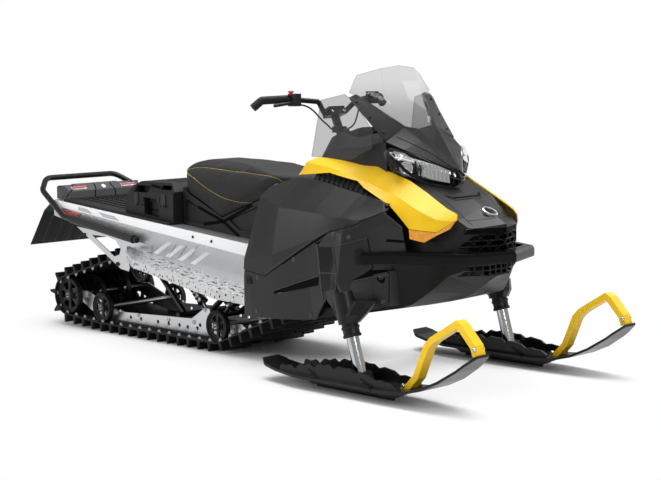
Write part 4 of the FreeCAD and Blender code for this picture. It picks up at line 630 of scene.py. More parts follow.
for lens_name, finish, slot, slack, high in (
    ("tail_lens_rims", lens_clear, "lamp_clear", 0, 0.0015),
    ("tail_lens_ends", lens_red, "lens_red", LENS_RIM, 0.003),
):
    lenses = Maker()
    for inner, outer in LENS_SPANS:
        line = [(LENS_X, inner + slack, LENS_Z), (LENS_X, outer - slack, LENS_Z)]
        strip(lenses, lamp_case, line, DOWN_BACK, LENS_WIDTH - slack * 2, high, sides=ONCE)
    lenses.piece(lens_name, finish, slot)
# near black for dark seams, and for the patches and bands laid as painted shade
seam_and_shade_black = moulded("seam_and_shade_black", (0.0015, 0.0015, 0.0015), 0.6, wear_and_highlight=0)
seam_and_shade_black.set(Specular_IOR_Level=0.04)
# two dark bands down the housing's front: painted shade along its steps
GROOVES_Y = (0.062, 0.226)
GROOVE_TAPER = 0.8
groove_shade = Maker()
for y in GROOVES_Y:
    top_y = y * GROOVE_TAPER
    line = [(-1.320, top_y, 0.690), (LENS_X, top_y, 0.676), (-1.270, y, 0.664), (-1.270, y, 0.628)]
    strip(groove_shade, lamp_case, line, DOWN_BACK, 0.006)
groove_shade.piece("tail_groove_shade", seam_and_shade_black)
middle_lens = Maker()
MIDDLE_LENS = mm(((12, -2), (12, 1.5), (9, 3), (3, 3.5)))
middle_lens.turned(landed(lamp_case, (LENS_X, 0, LENS_Z), DOWN_BACK)[0], (0.7, 0, 0.7), MIDDLE_LENS, 24)
middle_lens.piece("tail_lens_middle", lens_clear, "lamp_clear")

# Cargo deck and box: black moulded deck with drain grooves, and a lidded case strapped on
# it by two rubber latches.
case_black = moulded("case_black", (0.0085, 0.0085, 0.009), 0.5)
dress(case_black, "cargo_deck", "cargo_box")
BOX_FACE_Y = 0.230
BOX_LATCH = mm(((-11, -30), (11, -30), (14, 18), (8, 34), (-8, 34), (-14, 18)))
LATCH_STUD = mm(((8, 0), (8, 5), (5, 7)))
LATCHES_X = (-0.725, -0.520)
LATCHES_Z = 0.655
latches = Maker()
for x in LATCHES_X:
    for side in SIDES:
        face = Vector((x, side * BOX_FACE_Y, LATCHES_Z))
        latches.plate(face, FORE, RISE, BOX_LATCH, 0.010)
        latches.turned(face + Vector((0, side * 0.003, -0.020)), (0, side, 0), LATCH_STUD)
latches.piece("box_latches", rubber("latch_rubber", (0.02, 0.02, 0.021), 0.5), "grip_rubber")
# ribs of the grip hole, then the slanted slot over it and the sill under it, with their widths
RIB_START = -0.680
RIB_PITCH = 0.024
RIB_COUNT = 8
BOX_SLOTS = mm(((((-640, 216, 730), (-505, 216, 710)), 14), (((-690, 240, 640), (-490, 240, 640)), 5)))
box_shape = surface("cargo_box")
box_ribs = Maker()
box_slots = Maker()
for step in range(RIB_COUNT):
    x = RIB_START + RIB_PITCH * step
    strip(box_ribs, box_shape, ((x, 0.26, 0.646), (x, 0.26, 0.668)), INWARD, 0.010, 0.004)
for line, width in BOX_SLOTS:
    strip(box_slots, box_shape, line, (0, -0.8, -0.6), width)
box_ribs.piece("box_ribs", moulded("rib_grey", (0.018, 0.018, 0.0185), 0.35, wear_and_highlight=0.8))
box_slots.piece("box_slots", seam_and_shade_black)

# Seat: moulded foam under a coated cloth cover on a black plastic base. The top panel is
# sewn to the side panels with a yellow thread, and the seams pull into the foam.
FOAM_CELL = 0.0075
FOAM_EASE = 9
SWELL_PRESSURE = 3
SWELL_MOMENTS = 12
SWELL_CAP = 0.005


def settled(piece):
    """Mesh of a working copy with its modifiers applied. The copy is taken away."""
    mesh = bpy.data.meshes.new_from_object(piece.evaluated_get(bpy.context.evaluated_depsgraph_get()))
    bpy.data.objects.remove(piece)
    return mesh


foam = placed("foam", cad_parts["seat_cushion"].data.copy())
cells = foam.modifiers.new("cells", "REMESH")
cells.mode = "VOXEL"
cells.voxel_size = FOAM_CELL
ease = foam.modifiers.new("ease", "SMOOTH")
ease.factor = 0.5
ease.iterations = FOAM_EASE
cover_mesh = settled(foam)

# side view points of the two sewn lines
TOP_SEAM = mm((
    (-440, 792), (-363, 821), (-253, 812), (-164, 804), (-62, 798), (38, 791), (109, 788), (178, 780),
    (240, 768),
))
LOW_SEAM = mm((
    (-446, 788), (-371, 774), (-310, 744), (-250, 720), (-169, 692), (-103, 679), (-37, 669), (20, 672),
))
SEAM_DEPTH = 0.0040
SEAM_WIDTH = 0.011
STITCH_PITCH = 0.008
STITCH_RADIUS = 0.0011
STITCH_LIFT = 0.0009


def spline(name, points, resolution):
    """Smooth line that rounds off the corners between its points."""
    curve = bpy.data.curves.new(name, "CURVE")
    curve.dimensions = "3D"
    curve.resolution_u = resolution
    line = curve.splines.new("NURBS")
    line.points.add(len(points) - 1)
    for knot, point in zip(line.points, points):
        knot.co = (*point, 1)
    line.order_u = 3
    line.use_endpoint_u = True
    return placed(name, curve)


pad = placed("pad", cover_mesh.copy())
cloth = pad.modifiers.new("cloth", "CLOTH")
cloth.settings.use_pressure = True
cloth.settings.uniform_pressure_force = SWELL_PRESSURE
cloth.settings.effector_weights.gravity = 0
cloth.settings.quality = 4
for moment in range(1, SWELL_MOMENTS + 1):
    bpy.context.scene.frame_set(moment)
swollen = settled(pad)
bpy.context.scene.frame_set(1)
for vertex, moved in zip(cover_mesh.vertices, swollen.vertices):
    push = moved.co - vertex.co
    if push.length > SWELL_CAP:
        push *= SWELL_CAP / push.length
    vertex.co += push

cover_faces = [face.vertices for face in cover_mesh.polygons]
cover_shape = BVHTree.FromPolygons([vertex.co for vertex in cover_mesh.vertices], cover_faces)
sewn_spots = []
for seam, start_y, aim in ((TOP_SEAM, 0.15, (0, -0.75, -0.66)), (LOW_SEAM, 0.30, (0, -1, 0))):
    for side in SIDES:
        guide = settled(spline("guide", [(x, side * start_y, z) for x, z in seam], 12))
        for spot, run in paced([vertex.co.copy() for vertex in guide.vertices], STITCH_PITCH):
            hit = landed(cover_shape, spot, (0, side * aim[1], aim[2]))
            if hit:
                sewn_spots.append((*hit, run))
near_seam = KDTree(len(sewn_spots))
for index, (spot, normal, run) in enumerate(sewn_spots):
    near_seam.insert(spot, index)
near_seam.balance()
for vertex in cover_mesh.vertices:
    spot, index, far = near_seam.find(vertex.co)
    if far < SEAM_WIDTH:
        vertex.co -= sewn_spots[index][1] * SEAM_DEPTH * (1 - far / SEAM_WIDTH)
stitches = Maker()
for spot, normal, run in sewn_spots:
    half = run * STITCH_PITCH * 0.30
    lift = normal * STITCH_LIFT
    middle = spot - normal * (SEAM_DEPTH * 0.55)
    stitches.wire([middle - half, middle - half * 0.5 + lift, middle + half * 0.5 + lift, middle + half],
                  STITCH_RADIUS, normal)

seat_cover = Finish("seat_cover", Sheen_Weight=0.05, Specular_IOR_Level=0.22)
weave = seat_cover.cells(330)
creases_and_shade = seat_cover.noise(16, 4)
# the cover is painted darker in the hollows of its creases: painted shade
seat_cover.colour(creases_and_shade, (0.0080, 0.0080, 0.0083), (0.0145, 0.0145, 0.015))
seat_cover.set(Roughness=(weave - 0.5) * 0.2 + 0.6)
seat_cover.bump(weave * 0.5 + creases_and_shade * 2, 0.0012)
thread_yellow = Finish("thread_yellow", Roughness=0.7)
thread_yellow.colour(thread_yellow.noise(300), (0.42, 0.30, 0.02), (0.66, 0.48, 0.05))
stitches.piece("seat_stitches", thread_yellow, "seat_cover")
cover = add_piece("seat_cover", cover_mesh, seat_cover, sharp=75)
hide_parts("seat_cushion")
dress(case_black, "seat_base")
base_shape = surface("seat_base")
FRAME_LINES = mm((
    ((-420, 240, 662), (-164, 240, 580), (30, 240, 664)),
    ((-300, 240, 560), (-164, 240, 580), (-60, 240, 520)),
))
base_frames = Maker()
for line in FRAME_LINES:
    strip(base_frames, base_shape, line, INWARD, 0.015, 0.002, 0.02)
base_frames.piece("seat_base_frames", seam_and_shade_black)

# Body sides: thick moulded panels of dark grey plastic, lapped at one falling seam and held
# by quarter-turn fasteners. The intake grilles above them are pressed into the lap.
PANEL_GREY = (0.0115, 0.0116, 0.0122)
panel_grey = moulded("panel_grey", PANEL_GREY, 0.33, 0.0035, wear_and_highlight=0.6)
dress(panel_grey, "side_panel_left", "side_panel_right", "lower_panels")
# the front fenders take a lighter copy of the panel grey: painted light on the fenders
dress(moulded("fender_lit_grey", shade(PANEL_GREY, 1.55), 0.33, 0.0035, wear_and_highlight=0.6), "front_fenders")
body_black = moulded("body_black", (0.0045, 0.0045, 0.0048), 0.38)
body_black.set(Specular_IOR_Level=0.18)
dress(body_black, "intake_grilles")


def seated(maker, shape, spots, aim, profile, sides=18):
    """Turned pieces that stand on both sides of a shape, where lines along aim meet it."""
    for spot in spots:
        for side in SIDES:
            hit = landed(shape, mirrored((spot,), side)[0], (aim[0], side * aim[1], aim[2]))
            if hit:
                maker.turned(*hit, profile, sides)


def corner_cut(a, b, cut):
    """Outline of a rectangle, given by its half sides, with its four corners cut off."""
    right = ((a, cut - b), (a, b - cut), (a - cut, b))
    return (*right, (cut - a, b), (-a, b - cut), (-a, cut - b), (cut - a, -b), (a - cut, -b))


side_shape = surface("side_panel_left", "side_panel_right", "lower_panels", "front_fenders")
FASTENER = mm(((8.8, -2), (8.8, 1), (6.6, 2.6), (5.8, 1.2), (1.4, 1), (1, 2.8)))
PANEL_FASTENERS = mm((
    (791, 608), (861, 600), (330, 398), (560, 492), (300, 252), (628, 268), (984, 446), (991, 353),
    (300, 770),
))
fasteners = Maker()
seated(fasteners, side_shape, [(x, 0.45, z) for x, z in PANEL_FASTENERS], INWARD, FASTENER)
fasteners.piece("panel_fasteners", moulded("fastener_grey", (0.05, 0.05, 0.052), 0.3))
# square latch that lets the lower panel hinge out
LATCH_AT = mm((276, 470, 382))
LATCH_KNOB = mm(((11, 0), (11, 4), (8, 4.5), (7.8, 3), (1, 3)))
LATCH_PLATE = corner_cut(0.017, 0.017, 0.0034)
latch = Maker()
for side in SIDES:
    point, normal = landed(side_shape, mirrored((LATCH_AT,), side)[0], (0, -side, 0))
    latch.plate(point, RISE.cross(normal).normalized(), RISE, LATCH_PLATE, 0.005)
    latch.turned(point, normal, LATCH_KNOB)
latch.piece("panel_latches", body_black)

# Fender recess: a glossy black patch laid over the recess in each fender above the ski leg as
# painted shade, split by one cross rib and edged by a raised bead painted light as a highlight.
# Black patches over its hollows are painted shade, and its seams are dark lines.
RECESS = mm((
    ((704, 500, 552), (789, 500, 557)), ((714, 500, 450), (822, 500, 458)),
    ((722, 500, 340), (838, 500, 384)),
))
SLANTING = (-0.5, -0.86, 0)
RECESS_COLUMNS = 8
RECESS_ROWS = 10
# painted shade over the hollow on the fender's lower step and over its pocket: upper and lower edges
STEP_HOLLOW = mm((
    ((896, 437, 436), (943, 374, 474), (985, 364, 474), (1016, 353, 471)),
    ((896, 437, 432), (943, 374, 448), (985, 364, 456), (1016, 353, 462)),
))
STEP_POCKET = mm((
    ((962, 372, 444), (983, 366, 447), (1004, 359, 448)), ((980, 372, 430), (986, 366, 425), (995, 359, 428)),
))
# seam behind the step, slot over the bumper, lit edge (a painted highlight bead) and seam of the fender's
# front box
STEP_SEAM = mm(((1017, 353, 470), (1015, 355, 350)))
SHELF_SLOT = mm(((985, 334, 588), (1040, 290, 584)))
POD_EDGE = mm(((799, 434, 560), (925, 380, 598)))
POD_SEAM = mm(((928, 379, 596), (946, 371, 480), (905, 430, 434)))
# wedge-shaped duct mouth low on the side: edges of its shaded upper half, and its brim
DUCT = mm((
    ((428, 419.5, 350), (560, 424.5, 391), (704, 430.5, 434)),
    ((428, 419, 338), (560, 421.5, 366), (698, 427, 398)),
))
DUCT_BRIM = mm(((422, 419, 350), (560, 424, 393), (706, 430, 437)))
# falling seam where the upper side panel laps over the lower one, and its lit lip
LAP_SEAM = mm(((385, 460, 410), (768, 460, 616)))
LAP_LIP = mm(((385, 460, 420), (768, 460, 626)))
gloss_black = moulded("gloss_black", (0.0032, 0.0032, 0.0034), 0.18, wear_and_highlight=0.5)
gloss_black.set(Specular_IOR_Level=0.13)
nose_shape = surface("front_fenders", "hood")
recess_shade, highlight_beads, hollow_shade_and_seams = [Maker() for kind in range(3)]
for side in SIDES:
    inward = (0, -side, 0)
    slanted = (SLANTING[0], side * SLANTING[1], 0)
    rows = []
    # glossy black patch over the recess: painted shade
    for (top_left, top_right), (low_left, low_right) in zip(RECESS, RECESS[1:]):
        for row in range(RECESS_ROWS + 1):
            start = Vector(top_left).lerp(Vector(low_left), row / RECESS_ROWS)
            end = Vector(top_right).lerp(Vector(low_right), row / RECESS_ROWS)
            spots = [start.lerp(end, column / RECESS_COLUMNS) for column in range(RECESS_COLUMNS + 1)]
            hits = [landed(side_shape, spot, inward) for spot in mirrored(spots, side)]
            if all(hits):
                rows.append(hits)
    recess_shade.patch(rows, 0.0012)
    hollow_shade_and_seams.joined([[Vector(point) for point in mirrored(edge, side)] for edge in DUCT], closed=False)
    for edges in (STEP_HOLLOW, STEP_POCKET):
        upper, lower = [laid(side_shape, mirrored(edge, side), slanted, 0.004) for edge in edges]
        count = min(len(upper), len(lower))
        hollow_shade_and_seams.patch([[edge[round(step * (len(edge) - 1) / (count - 1))] for step in range(count)]
                       for edge in (upper, lower)], 0.0015)
    highlight_beads.band([(Vector(point), LEFT * side) for point in mirrored(DUCT_BRIM, side)], 0.004, 0.002)
strip(hollow_shade_and_seams, nose_shape, SHELF_SLOT, (-0.6, -0.8, 0), 0.011, pitch=0.01)
# line, direction it is laid in, width and height of each band
for maker, line, aim, width, height in (
    (hollow_shade_and_seams, STEP_SEAM, SLANTING, 0.0035, 0.0012),
    (hollow_shade_and_seams, POD_SEAM, SLANTING, 0.004, 0.0012),
    (hollow_shade_and_seams, LAP_SEAM, INWARD, 0.007, 0.0012),
    (highlight_beads, [edges[0] for edges in RECESS], INWARD, 0.008, 0.0028),
    (highlight_beads, [edges[1] for edges in RECESS], INWARD, 0.003, 0.0028),
    (highlight_beads, RECESS[1], INWARD, 0.0035, 0.0028),
    (highlight_beads, POD_EDGE, SLANTING, 0.005, 0.003),
    (highlight_beads, LAP_LIP, INWARD, 0.005, 0.002),
    (highlight_beads, STEP_HOLLOW[1], SLANTING, 0.0045, 0.003),
):
    strip(maker, side_shape, line, aim, width, height)
# black patches are painted shade in the hollows; the narrow bands are dark seams
hollow_shade_and_seams.piece("fender_shade_and_seams", seam_and_shade_black)
recess_shade.piece("fender_recess_shade", gloss_black)
# raised beads in a much lighter copy of the panel grey: painted highlights along the edges they follow
highlight_beads.piece("fender_highlight_beads", moulded("bead_highlight_grey", shade(PANEL_GREY, 2.6), 0.3, wear_and_highlight=0.8), "panel_grey")

# Leg housings and belly: black plastic cones bolted under the fenders, each closed by a
# rubber gaiter ring round the steel leg, and a belly pan with its own small grille.
dress(moulded("housing_black", (0.0085, 0.0085, 0.009), 0.32), "leg_housings")
dress(body_black, "belly_pan")
SKI_Y = 0.45
LEG_FOOT = Vector((0.945, 0, 0.101))
LEG_RAKE = math.radians(16.5)
LEG_UP = Vector((-math.sin(LEG_RAKE), 0, math.cos(LEG_RAKE)))
GAITER = mm(((33.5, -6), (36.2, -4), (36.2, 4), (33.5, 6)))
GAITERS_UP = (0.128, 0.160)
gaiters = Maker()
for side in SIDES:
    for up in GAITERS_UP:
        gaiters.turned(LEG_FOOT + LEFT * side * SKI_Y + LEG_UP * up, LEG_UP, GAITER, 32)
gaiters.piece("leg_gaiters", rubber("gaiter_rubber", RUBBER_BLACK, 0.5), "sleeve_grey")

# Front bumper: thick glossy bar bent to a point ahead of the nose, with bolted clamps on
# the fenders.
dress(gloss_black, "front_bumper")
BAR_PLAN = [Vector(spot) for spot in mm((
    (908, 398), (1000, 308), (1262, 190), (1332, 0), (1262, -190), (1000, -308), (908, -398),
))]
# outward reach and height of the bar's moulded cover
BAR_COVER = mm((
    (15.8, 502), (19.5, 500), (21.5, 506), (21.5, 531), (15, 543), (-17, 545), (-17, 541.5), (13, 539.5),
    (15.8, 534),
))
runs = [(after - before).normalized() for before, after in zip(BAR_PLAN, BAR_PLAN[1:])]
cover_rings = []
for spot, into, onward in zip(BAR_PLAN, runs[:1] + runs, runs + runs[-1:]):
    out = (into + onward).orthogonal().normalized()
    stretch = 1 / max(out.dot(into.orthogonal()), 0.5)
    cover_rings.append([(spot + out * reach * stretch).to_3d() + RISE * z for reach, z in BAR_COVER])
bar_cover = Maker()
bar_cover.joined(cover_rings)
bar_cover.piece("bumper_cover", gloss_black, sharp=12)
CLAMP = scaled(((-1, -0.8), (1, -1), (1, 1), (-1, 0.8)), 0.012, 0.030)
CLAMP_AT = mm((904, 402, 526))
CLAMP_ALONG = (0.72, -0.70, 0)
BAR_BOLTS = mm(((846, 330, 521), (1290, 67, 534)))
bar_shape = surface("front_bumper")
clamps = Maker()
bar_bolts = Maker()
for side in SIDES:
    spot, along = mirrored((CLAMP_AT, CLAMP_ALONG), side)
    clamps.plate(Vector(spot), Vector(along), RISE, CLAMP, 0.030)
seated(bar_bolts, bar_shape, BAR_BOLTS, DOWN, *pan_head(0.0075))
clamps.piece("bumper_clamps", body_black)
bar_bolts.piece("bumper_bolts", black_coat, "tube_black")

# Shrouds: bright yellow moulded skins along the body's shoulders, with amber side
# reflectors set under their noses.
shroud_yellow = moulded("shroud_yellow", (0.78, 0.48, 0.010), 0.34, grain=0.0001, wear_and_highlight=0.1)
dress(shroud_yellow, "shroud_left", "shroud_right")
dress(glassy("lens_amber", (0.60, 0.24, 0.010)), "front_reflectors")

# Hood: grey moulded skin that falls to a pointed nose. A plain round boss sits near its tip
# and a shallow air scoop behind it. A dark insert with long cells fills the nose.
NOSE_WALL_X = 1.06
hood_grey = moulded("hood_grey", PANEL_GREY, 0.32)
x, y, z = hood_grey.axes()
facing = hood_grey.axes(hood_grey.node("NewGeometry").out("True Normal"))[2]
# steep faces of the nose are painted much darker: painted shade under the hood's edge
shaded_nose_wall = (x > NOSE_WALL_X) * (abs(facing) < 0.3)
skin = hood_grey.mix(hood_grey.noise(5, 4), shade(PANEL_GREY, 0.8), shade(PANEL_GREY, 1.2))
hood_grey.colour(shaded_nose_wall, skin, shade(PANEL_GREY, 0.3))
dress(hood_grey, "hood")
dress(seam_and_shade_black, "nose_grille")
BOSS_AT = (1.222, 0.0004, 0.690)
BOSS_RING = mm(((33, -6), (33, 2), (30.5, 4.2), (25, 4.2), (24.2, 1.2), (23.8, -6)))
BOSS_DISC = mm(((24, -6), (24, 0.8), (18, 2.2), (4, 3)))
BOSS_SIDES = 40
hood_shape = surface("hood")
point, normal = landed(hood_shape, BOSS_AT, DOWN)
normal = Vector((normal.x, 0, normal.z)).normalized()
boss = Maker()
boss.turned(point, normal, BOSS_RING, BOSS_SIDES)
boss.piece("hood_boss_ring", metal("boss_chrome", (0.86, 0.87, 0.88), 0.15), "axle_steel")
boss_disc = Maker()
boss_disc.turned(point, normal, BOSS_DISC, BOSS_SIDES)
boss_disc.piece("hood_boss_disc", gloss_black)
SCOOP = mm(((1082, -100, 800), (1104, -78, 800), (1118, 0, 800), (1104, 78, 800), (1082, 100, 800)))
HOOD_SEAM = mm(((955, 150, 800), (1080, 130, 800), (1180, 118, 800), (1238, 120, 800)))
NOSE_SEAM = mm(((1208, 121, 800), (1234, 66, 800), (1260, 8, 800)))
scoop = Maker()
strip(scoop, hood_shape, SCOOP, DOWN, 0.012, 0.0006, sides=ONCE)
strip(scoop, hood_shape, HOOD_SEAM, DOWN, 0.0026, 0.0004)
strip(scoop, hood_shape, NOSE_SEAM, DOWN, 0.0022, 0.0004)
scoop.piece("hood_lines", seam_and_shade_black)
lip = Maker()
strip(lip, hood_shape, [(x + 0.012, y, z) for x, y, z in SCOOP], DOWN, 0.004, 0.0022, sides=ONCE)
lip.piece("hood_scoop_lip", panel_grey, "panel_grey")
# plan of the grille's face, and its six-sided cells: z of each row, y of their middles in pitches
GRILLE_PLAN = mm(((1300, 0), (1271.2, 60), (1241.5, 128), (1193, 186)))
CELL_PITCH = 0.062
OPEN_CELLS = ((0.596, (-1, 0, 1)), (0.574, (-1.5, -0.5, 0.5, 1.5)), (0.552, (-1, 0, 1)))
BLIND_CELLS = ((0.596, (-2, 2)), (0.574, (-2.45, 2.45)), (0.552, (-2, -2.75, 2, 2.75)))
CELL = mm(((-29, 0), (-20, 10.2), (20, 10.2), (29, 0), (20, -10.2), (-20, -10.2)))
GRILLE_RIM = mm(((-190, 556), (-150, 630), (-128, 634), (0, 636), (128, 634), (150, 630), (190, 556)))
BROW_HALF = 0.156
BROW_STEPS = 20


def on_grille(points, proud):
    """Points given by y and z, on the grille's face or proud of it."""
    spots = []
    for y, z in points:
        for (x0, y0), (x1, y1) in zip(GRILLE_PLAN, GRILLE_PLAN[1:]):
            if abs(y) <= y1 or y1 == GRILLE_PLAN[-1][1]:
                spots.append(Vector((x0 + (x1 - x0) * (abs(y) - y0) / (y1 - y0) + proud, y, z)))
                break
    return spots


frames = Maker()
mouth_shade = Maker()
for cell_rows, blind in ((OPEN_CELLS, False), (BLIND_CELLS, True)):
    for cell_z, numbers in cell_rows:
        for number in numbers:
            corners = [(number * CELL_PITCH + a, cell_z + b) for a, b in CELL]
            frames.wire(on_grille((*corners, corners[0]), 0.0012), 0.0013, FORE)
            # blind cells are closed by black plates: painted shade in the mouth
            if blind:
                mouth_shade.joined([on_grille(corners, proud) for proud in (-0.002, 0.0008)])
frames.wire(on_grille(GRILLE_RIM, 0.008), 0.0022, FORE)
# black band under the hood's edge: painted shadow of the hood's brow
brow = [(2 * step / BROW_STEPS - 1) * BROW_HALF for step in range(BROW_STEPS + 1)]
mouth_shade.joined([on_grille([(y, z) for y in brow], 0.0075) for z in (0.612, 0.632)], closed=False)
frames.piece("grille_frames", panel_grey, "panel_grey")
mouth_shade.piece("grille_mouth_shade", seam_and_shade_black)
# the belly's own grille: blind cells beside the open ones and a dark screen behind them, all black
# as painted shade, and a rim over and under them
BELLY_X = 1.28
BELLY_CELLS = mm([(y, z) for y in (-136, -102, 102, 136) for z in (458, 478)])
BELLY_CELL = [[(y, z) for y in (-0.013, 0, 0.013)] for z in (-0.007, 0.007)]
BELLY_SCREEN_AT = Vector((1.185, 0, 0.468))
BELLY_SCREEN = mm(((-130, -30), (130, -30), (130, 30), (-130, 30)))
BELLY_RIM_HALF = 0.152
BELLY_RIMS_Z = (0.446, 0.490)
BACK = (-1, 0, 0)
belly_shape = surface("belly_pan")
belly_cells = Maker()
for y, z in BELLY_CELLS:
    rows = [[(BELLY_X, y + a, z + b) for a, b in row] for row in BELLY_CELL]
    belly_cells.patch([[landed(belly_shape, spot, BACK) for spot in row] for row in rows], 0.0008)
belly_cells.plate(BELLY_SCREEN_AT, LEFT, RISE, BELLY_SCREEN, 0.003)
belly_cells.piece("belly_cells", seam_and_shade_black)
belly_rim = Maker()
for z in BELLY_RIMS_Z:
    line = [(BELLY_X, -BELLY_RIM_HALF, z), (BELLY_X, BELLY_RIM_HALF, z)]
    strip(belly_rim, belly_shape, line, BACK, 0.0035, 0.003, sides=ONCE)
belly_rim.piece("belly_grille_rim", panel_grey, "panel_grey")

# Engine: cast aluminium block, blackened by heat, that sits on rubber mounts deep between
# the panels and shows only through the gaps over the footboards.
dress(metal("engine_metal", (0.16, 0.16, 0.165), 0.5), "engine_block")

# Console: black dashboard between seat and screen, with a flat display under a shallow hood
# and two turned knobs beside the steering post.
dress(case_black, "console", "post_bearing")
DISPLAY_AT = Vector((0.560, 0, 0.984))
DISPLAY_UP = Vector((-0.30, 0, 0.954))
DISPLAY_FORE = Vector((0.954, 0, 0.30))
BEZEL = corner_cut(0.042, 0.078, 0.014)
PANE = corner_cut(0.033, 0.069, 0.008)
PANE_LIFT = 0.0105
KNOB_AT = mm((500, 60, 1000))
KNOB = mm(((16, -6), (16, 4), (12.5, 6), (11.5, 16), (9, 18), (2, 18)))
bezel = Maker()
bezel.plate(DISPLAY_AT, DISPLAY_FORE, LEFT, BEZEL, 0.022)
bezel.piece("display_bezel", case_black)
display_glass = Finish("display_glass", Roughness=0.06, Coat_Weight=1.0)
display_glass.colour(display_glass.noise(30), (0.006, 0.007, 0.008), (0.010, 0.011, 0.013))
glass = Maker()
glass.plate(DISPLAY_AT + DISPLAY_UP * PANE_LIFT, DISPLAY_FORE, LEFT, PANE, 0.004)
glass.piece("display_glass", display_glass)
console_shape = surface("console")
knobs = Maker()
seated(knobs, console_shape, (KNOB_AT,), DOWN, KNOB, 24)
knobs.piece("console_knobs", wheel_plastic)

# Cowl and screens: a gloss black visor over the lamps whose pillars carry a smoke-tinted
# polycarbonate screen. Two wings of the same sheet deflect wind from the rider's hands.
visor_black = moulded("visor_black", (0.0032, 0.0032, 0.0034), 0.26, wear_and_highlight=0.2)
visor_black.set(Specular_IOR_Level=0.12)
dress(visor_black, "cowl")


def tinted(name, low, high):
    """Smoke tint that fades from its foot to its top, with polished edges that look darkest."""
    made = Finish(name, Roughness=0.04, Coat_Weight=0.6)
    edge = made.edge_mask(0.003)
    depth = made.axes()[2].eased(1.02, 1.22) * (high - low) + low
    made.colour(edge, (0.020, 0.020, 0.021), (0.05, 0.05, 0.052))
    made.set(Alpha=(depth + edge * 0.5).maths("MINIMUM", 0.9))
    return made


dress(tinted("screen_tint", 0.40, 0.17), "windshield")
dress(tinted("deflector_tint", 0.30, 0.26), "side_deflectors")
VISOR_CREASE = mm(((1050, 22, 1000), (985, 60, 1000), (915, 118, 1050), (868, 150, 1050)))
SCREEN_BOLTS = mm(((838, 188, 1050), (780, 206, 1150), (722, 222, 1200)))
cowl_shape = surface("cowl")
visor_creases = Maker()
screen_bolts = Maker()
strip(visor_creases, cowl_shape, VISOR_CREASE, DOWN, 0.0035, 0.0014)
seated(screen_bolts, cowl_shape, SCREEN_BOLTS, DOWN, *pan_head(0.006))
visor_creases.piece("visor_creases", gloss_black)
screen_bolts.piece("screen_bolts", black_coat, "tube_black")

# Headlamps: clear faceted covers over a dark housing, with a bright reflector shelf, one
# bowl and one fluted reflector on each side, parted by black ribs.
lamp_cover = Finish("lamp_cover", Roughness=0.03, Coat_Weight=1.0)
# the cover's edges are painted light grey and more opaque: painted highlight along them
edge = lamp_cover.edge_mask(0.003)
lamp_cover.colour(edge, (0.04, 0.041, 0.042), (0.55, 0.56, 0.57))
lamp_cover.set(Alpha=edge * 0.4 + 0.10)
dress(lamp_cover, "headlamps")
# plan and height of the housing's back, from the middle outwards: x, y, low z, high z
LAMP_BACK = mm((
    (1006, 8, 784, 874), (968, 60, 798, 896), (930, 120, 815, 914), (905, 165, 830, 926),
    (890, 205, 848, 930), (887, 226, 905, 921),
))
# shelf under the cover's upper face: rear and front edge points
LAMP_SHELF = mm((
    ((1046, 12, 852), (1076, 12, 812)), ((1004, 60, 877), (1034, 60, 836)),
    ((952, 120, 899), (990, 120, 858)), ((930, 165, 914), (958, 165, 874)),
    ((902, 205, 925), (930, 205, 888)),
))
LAMP_AIM = Vector((0.86, 0.42, 0.02))
BOWL_AT = Vector((0.938, 0.168, 0.853))
BOWL_RADIUS = 0.026
BOWL = ((0.30, -0.75), (0.62, -0.55), (0.85, -0.28), (1.0, 0.0), (1.1, 0.02), (1.1, -0.06), (0.9, -0.34),
        (0.64, -0.66), (0.30, -0.86))
BULB = mm(((7, 0), (7, 10), (4.5, 14), (1, 15.5)))
# fluted reflector ahead of the bowl: x, y, low z and high z of its two ends
FLUTES = mm(((968, 134, 812, 880), (1044, 36, 794, 844)))
FLUTE_STEPS = 16
FLUTE_DEPTH = 0.008
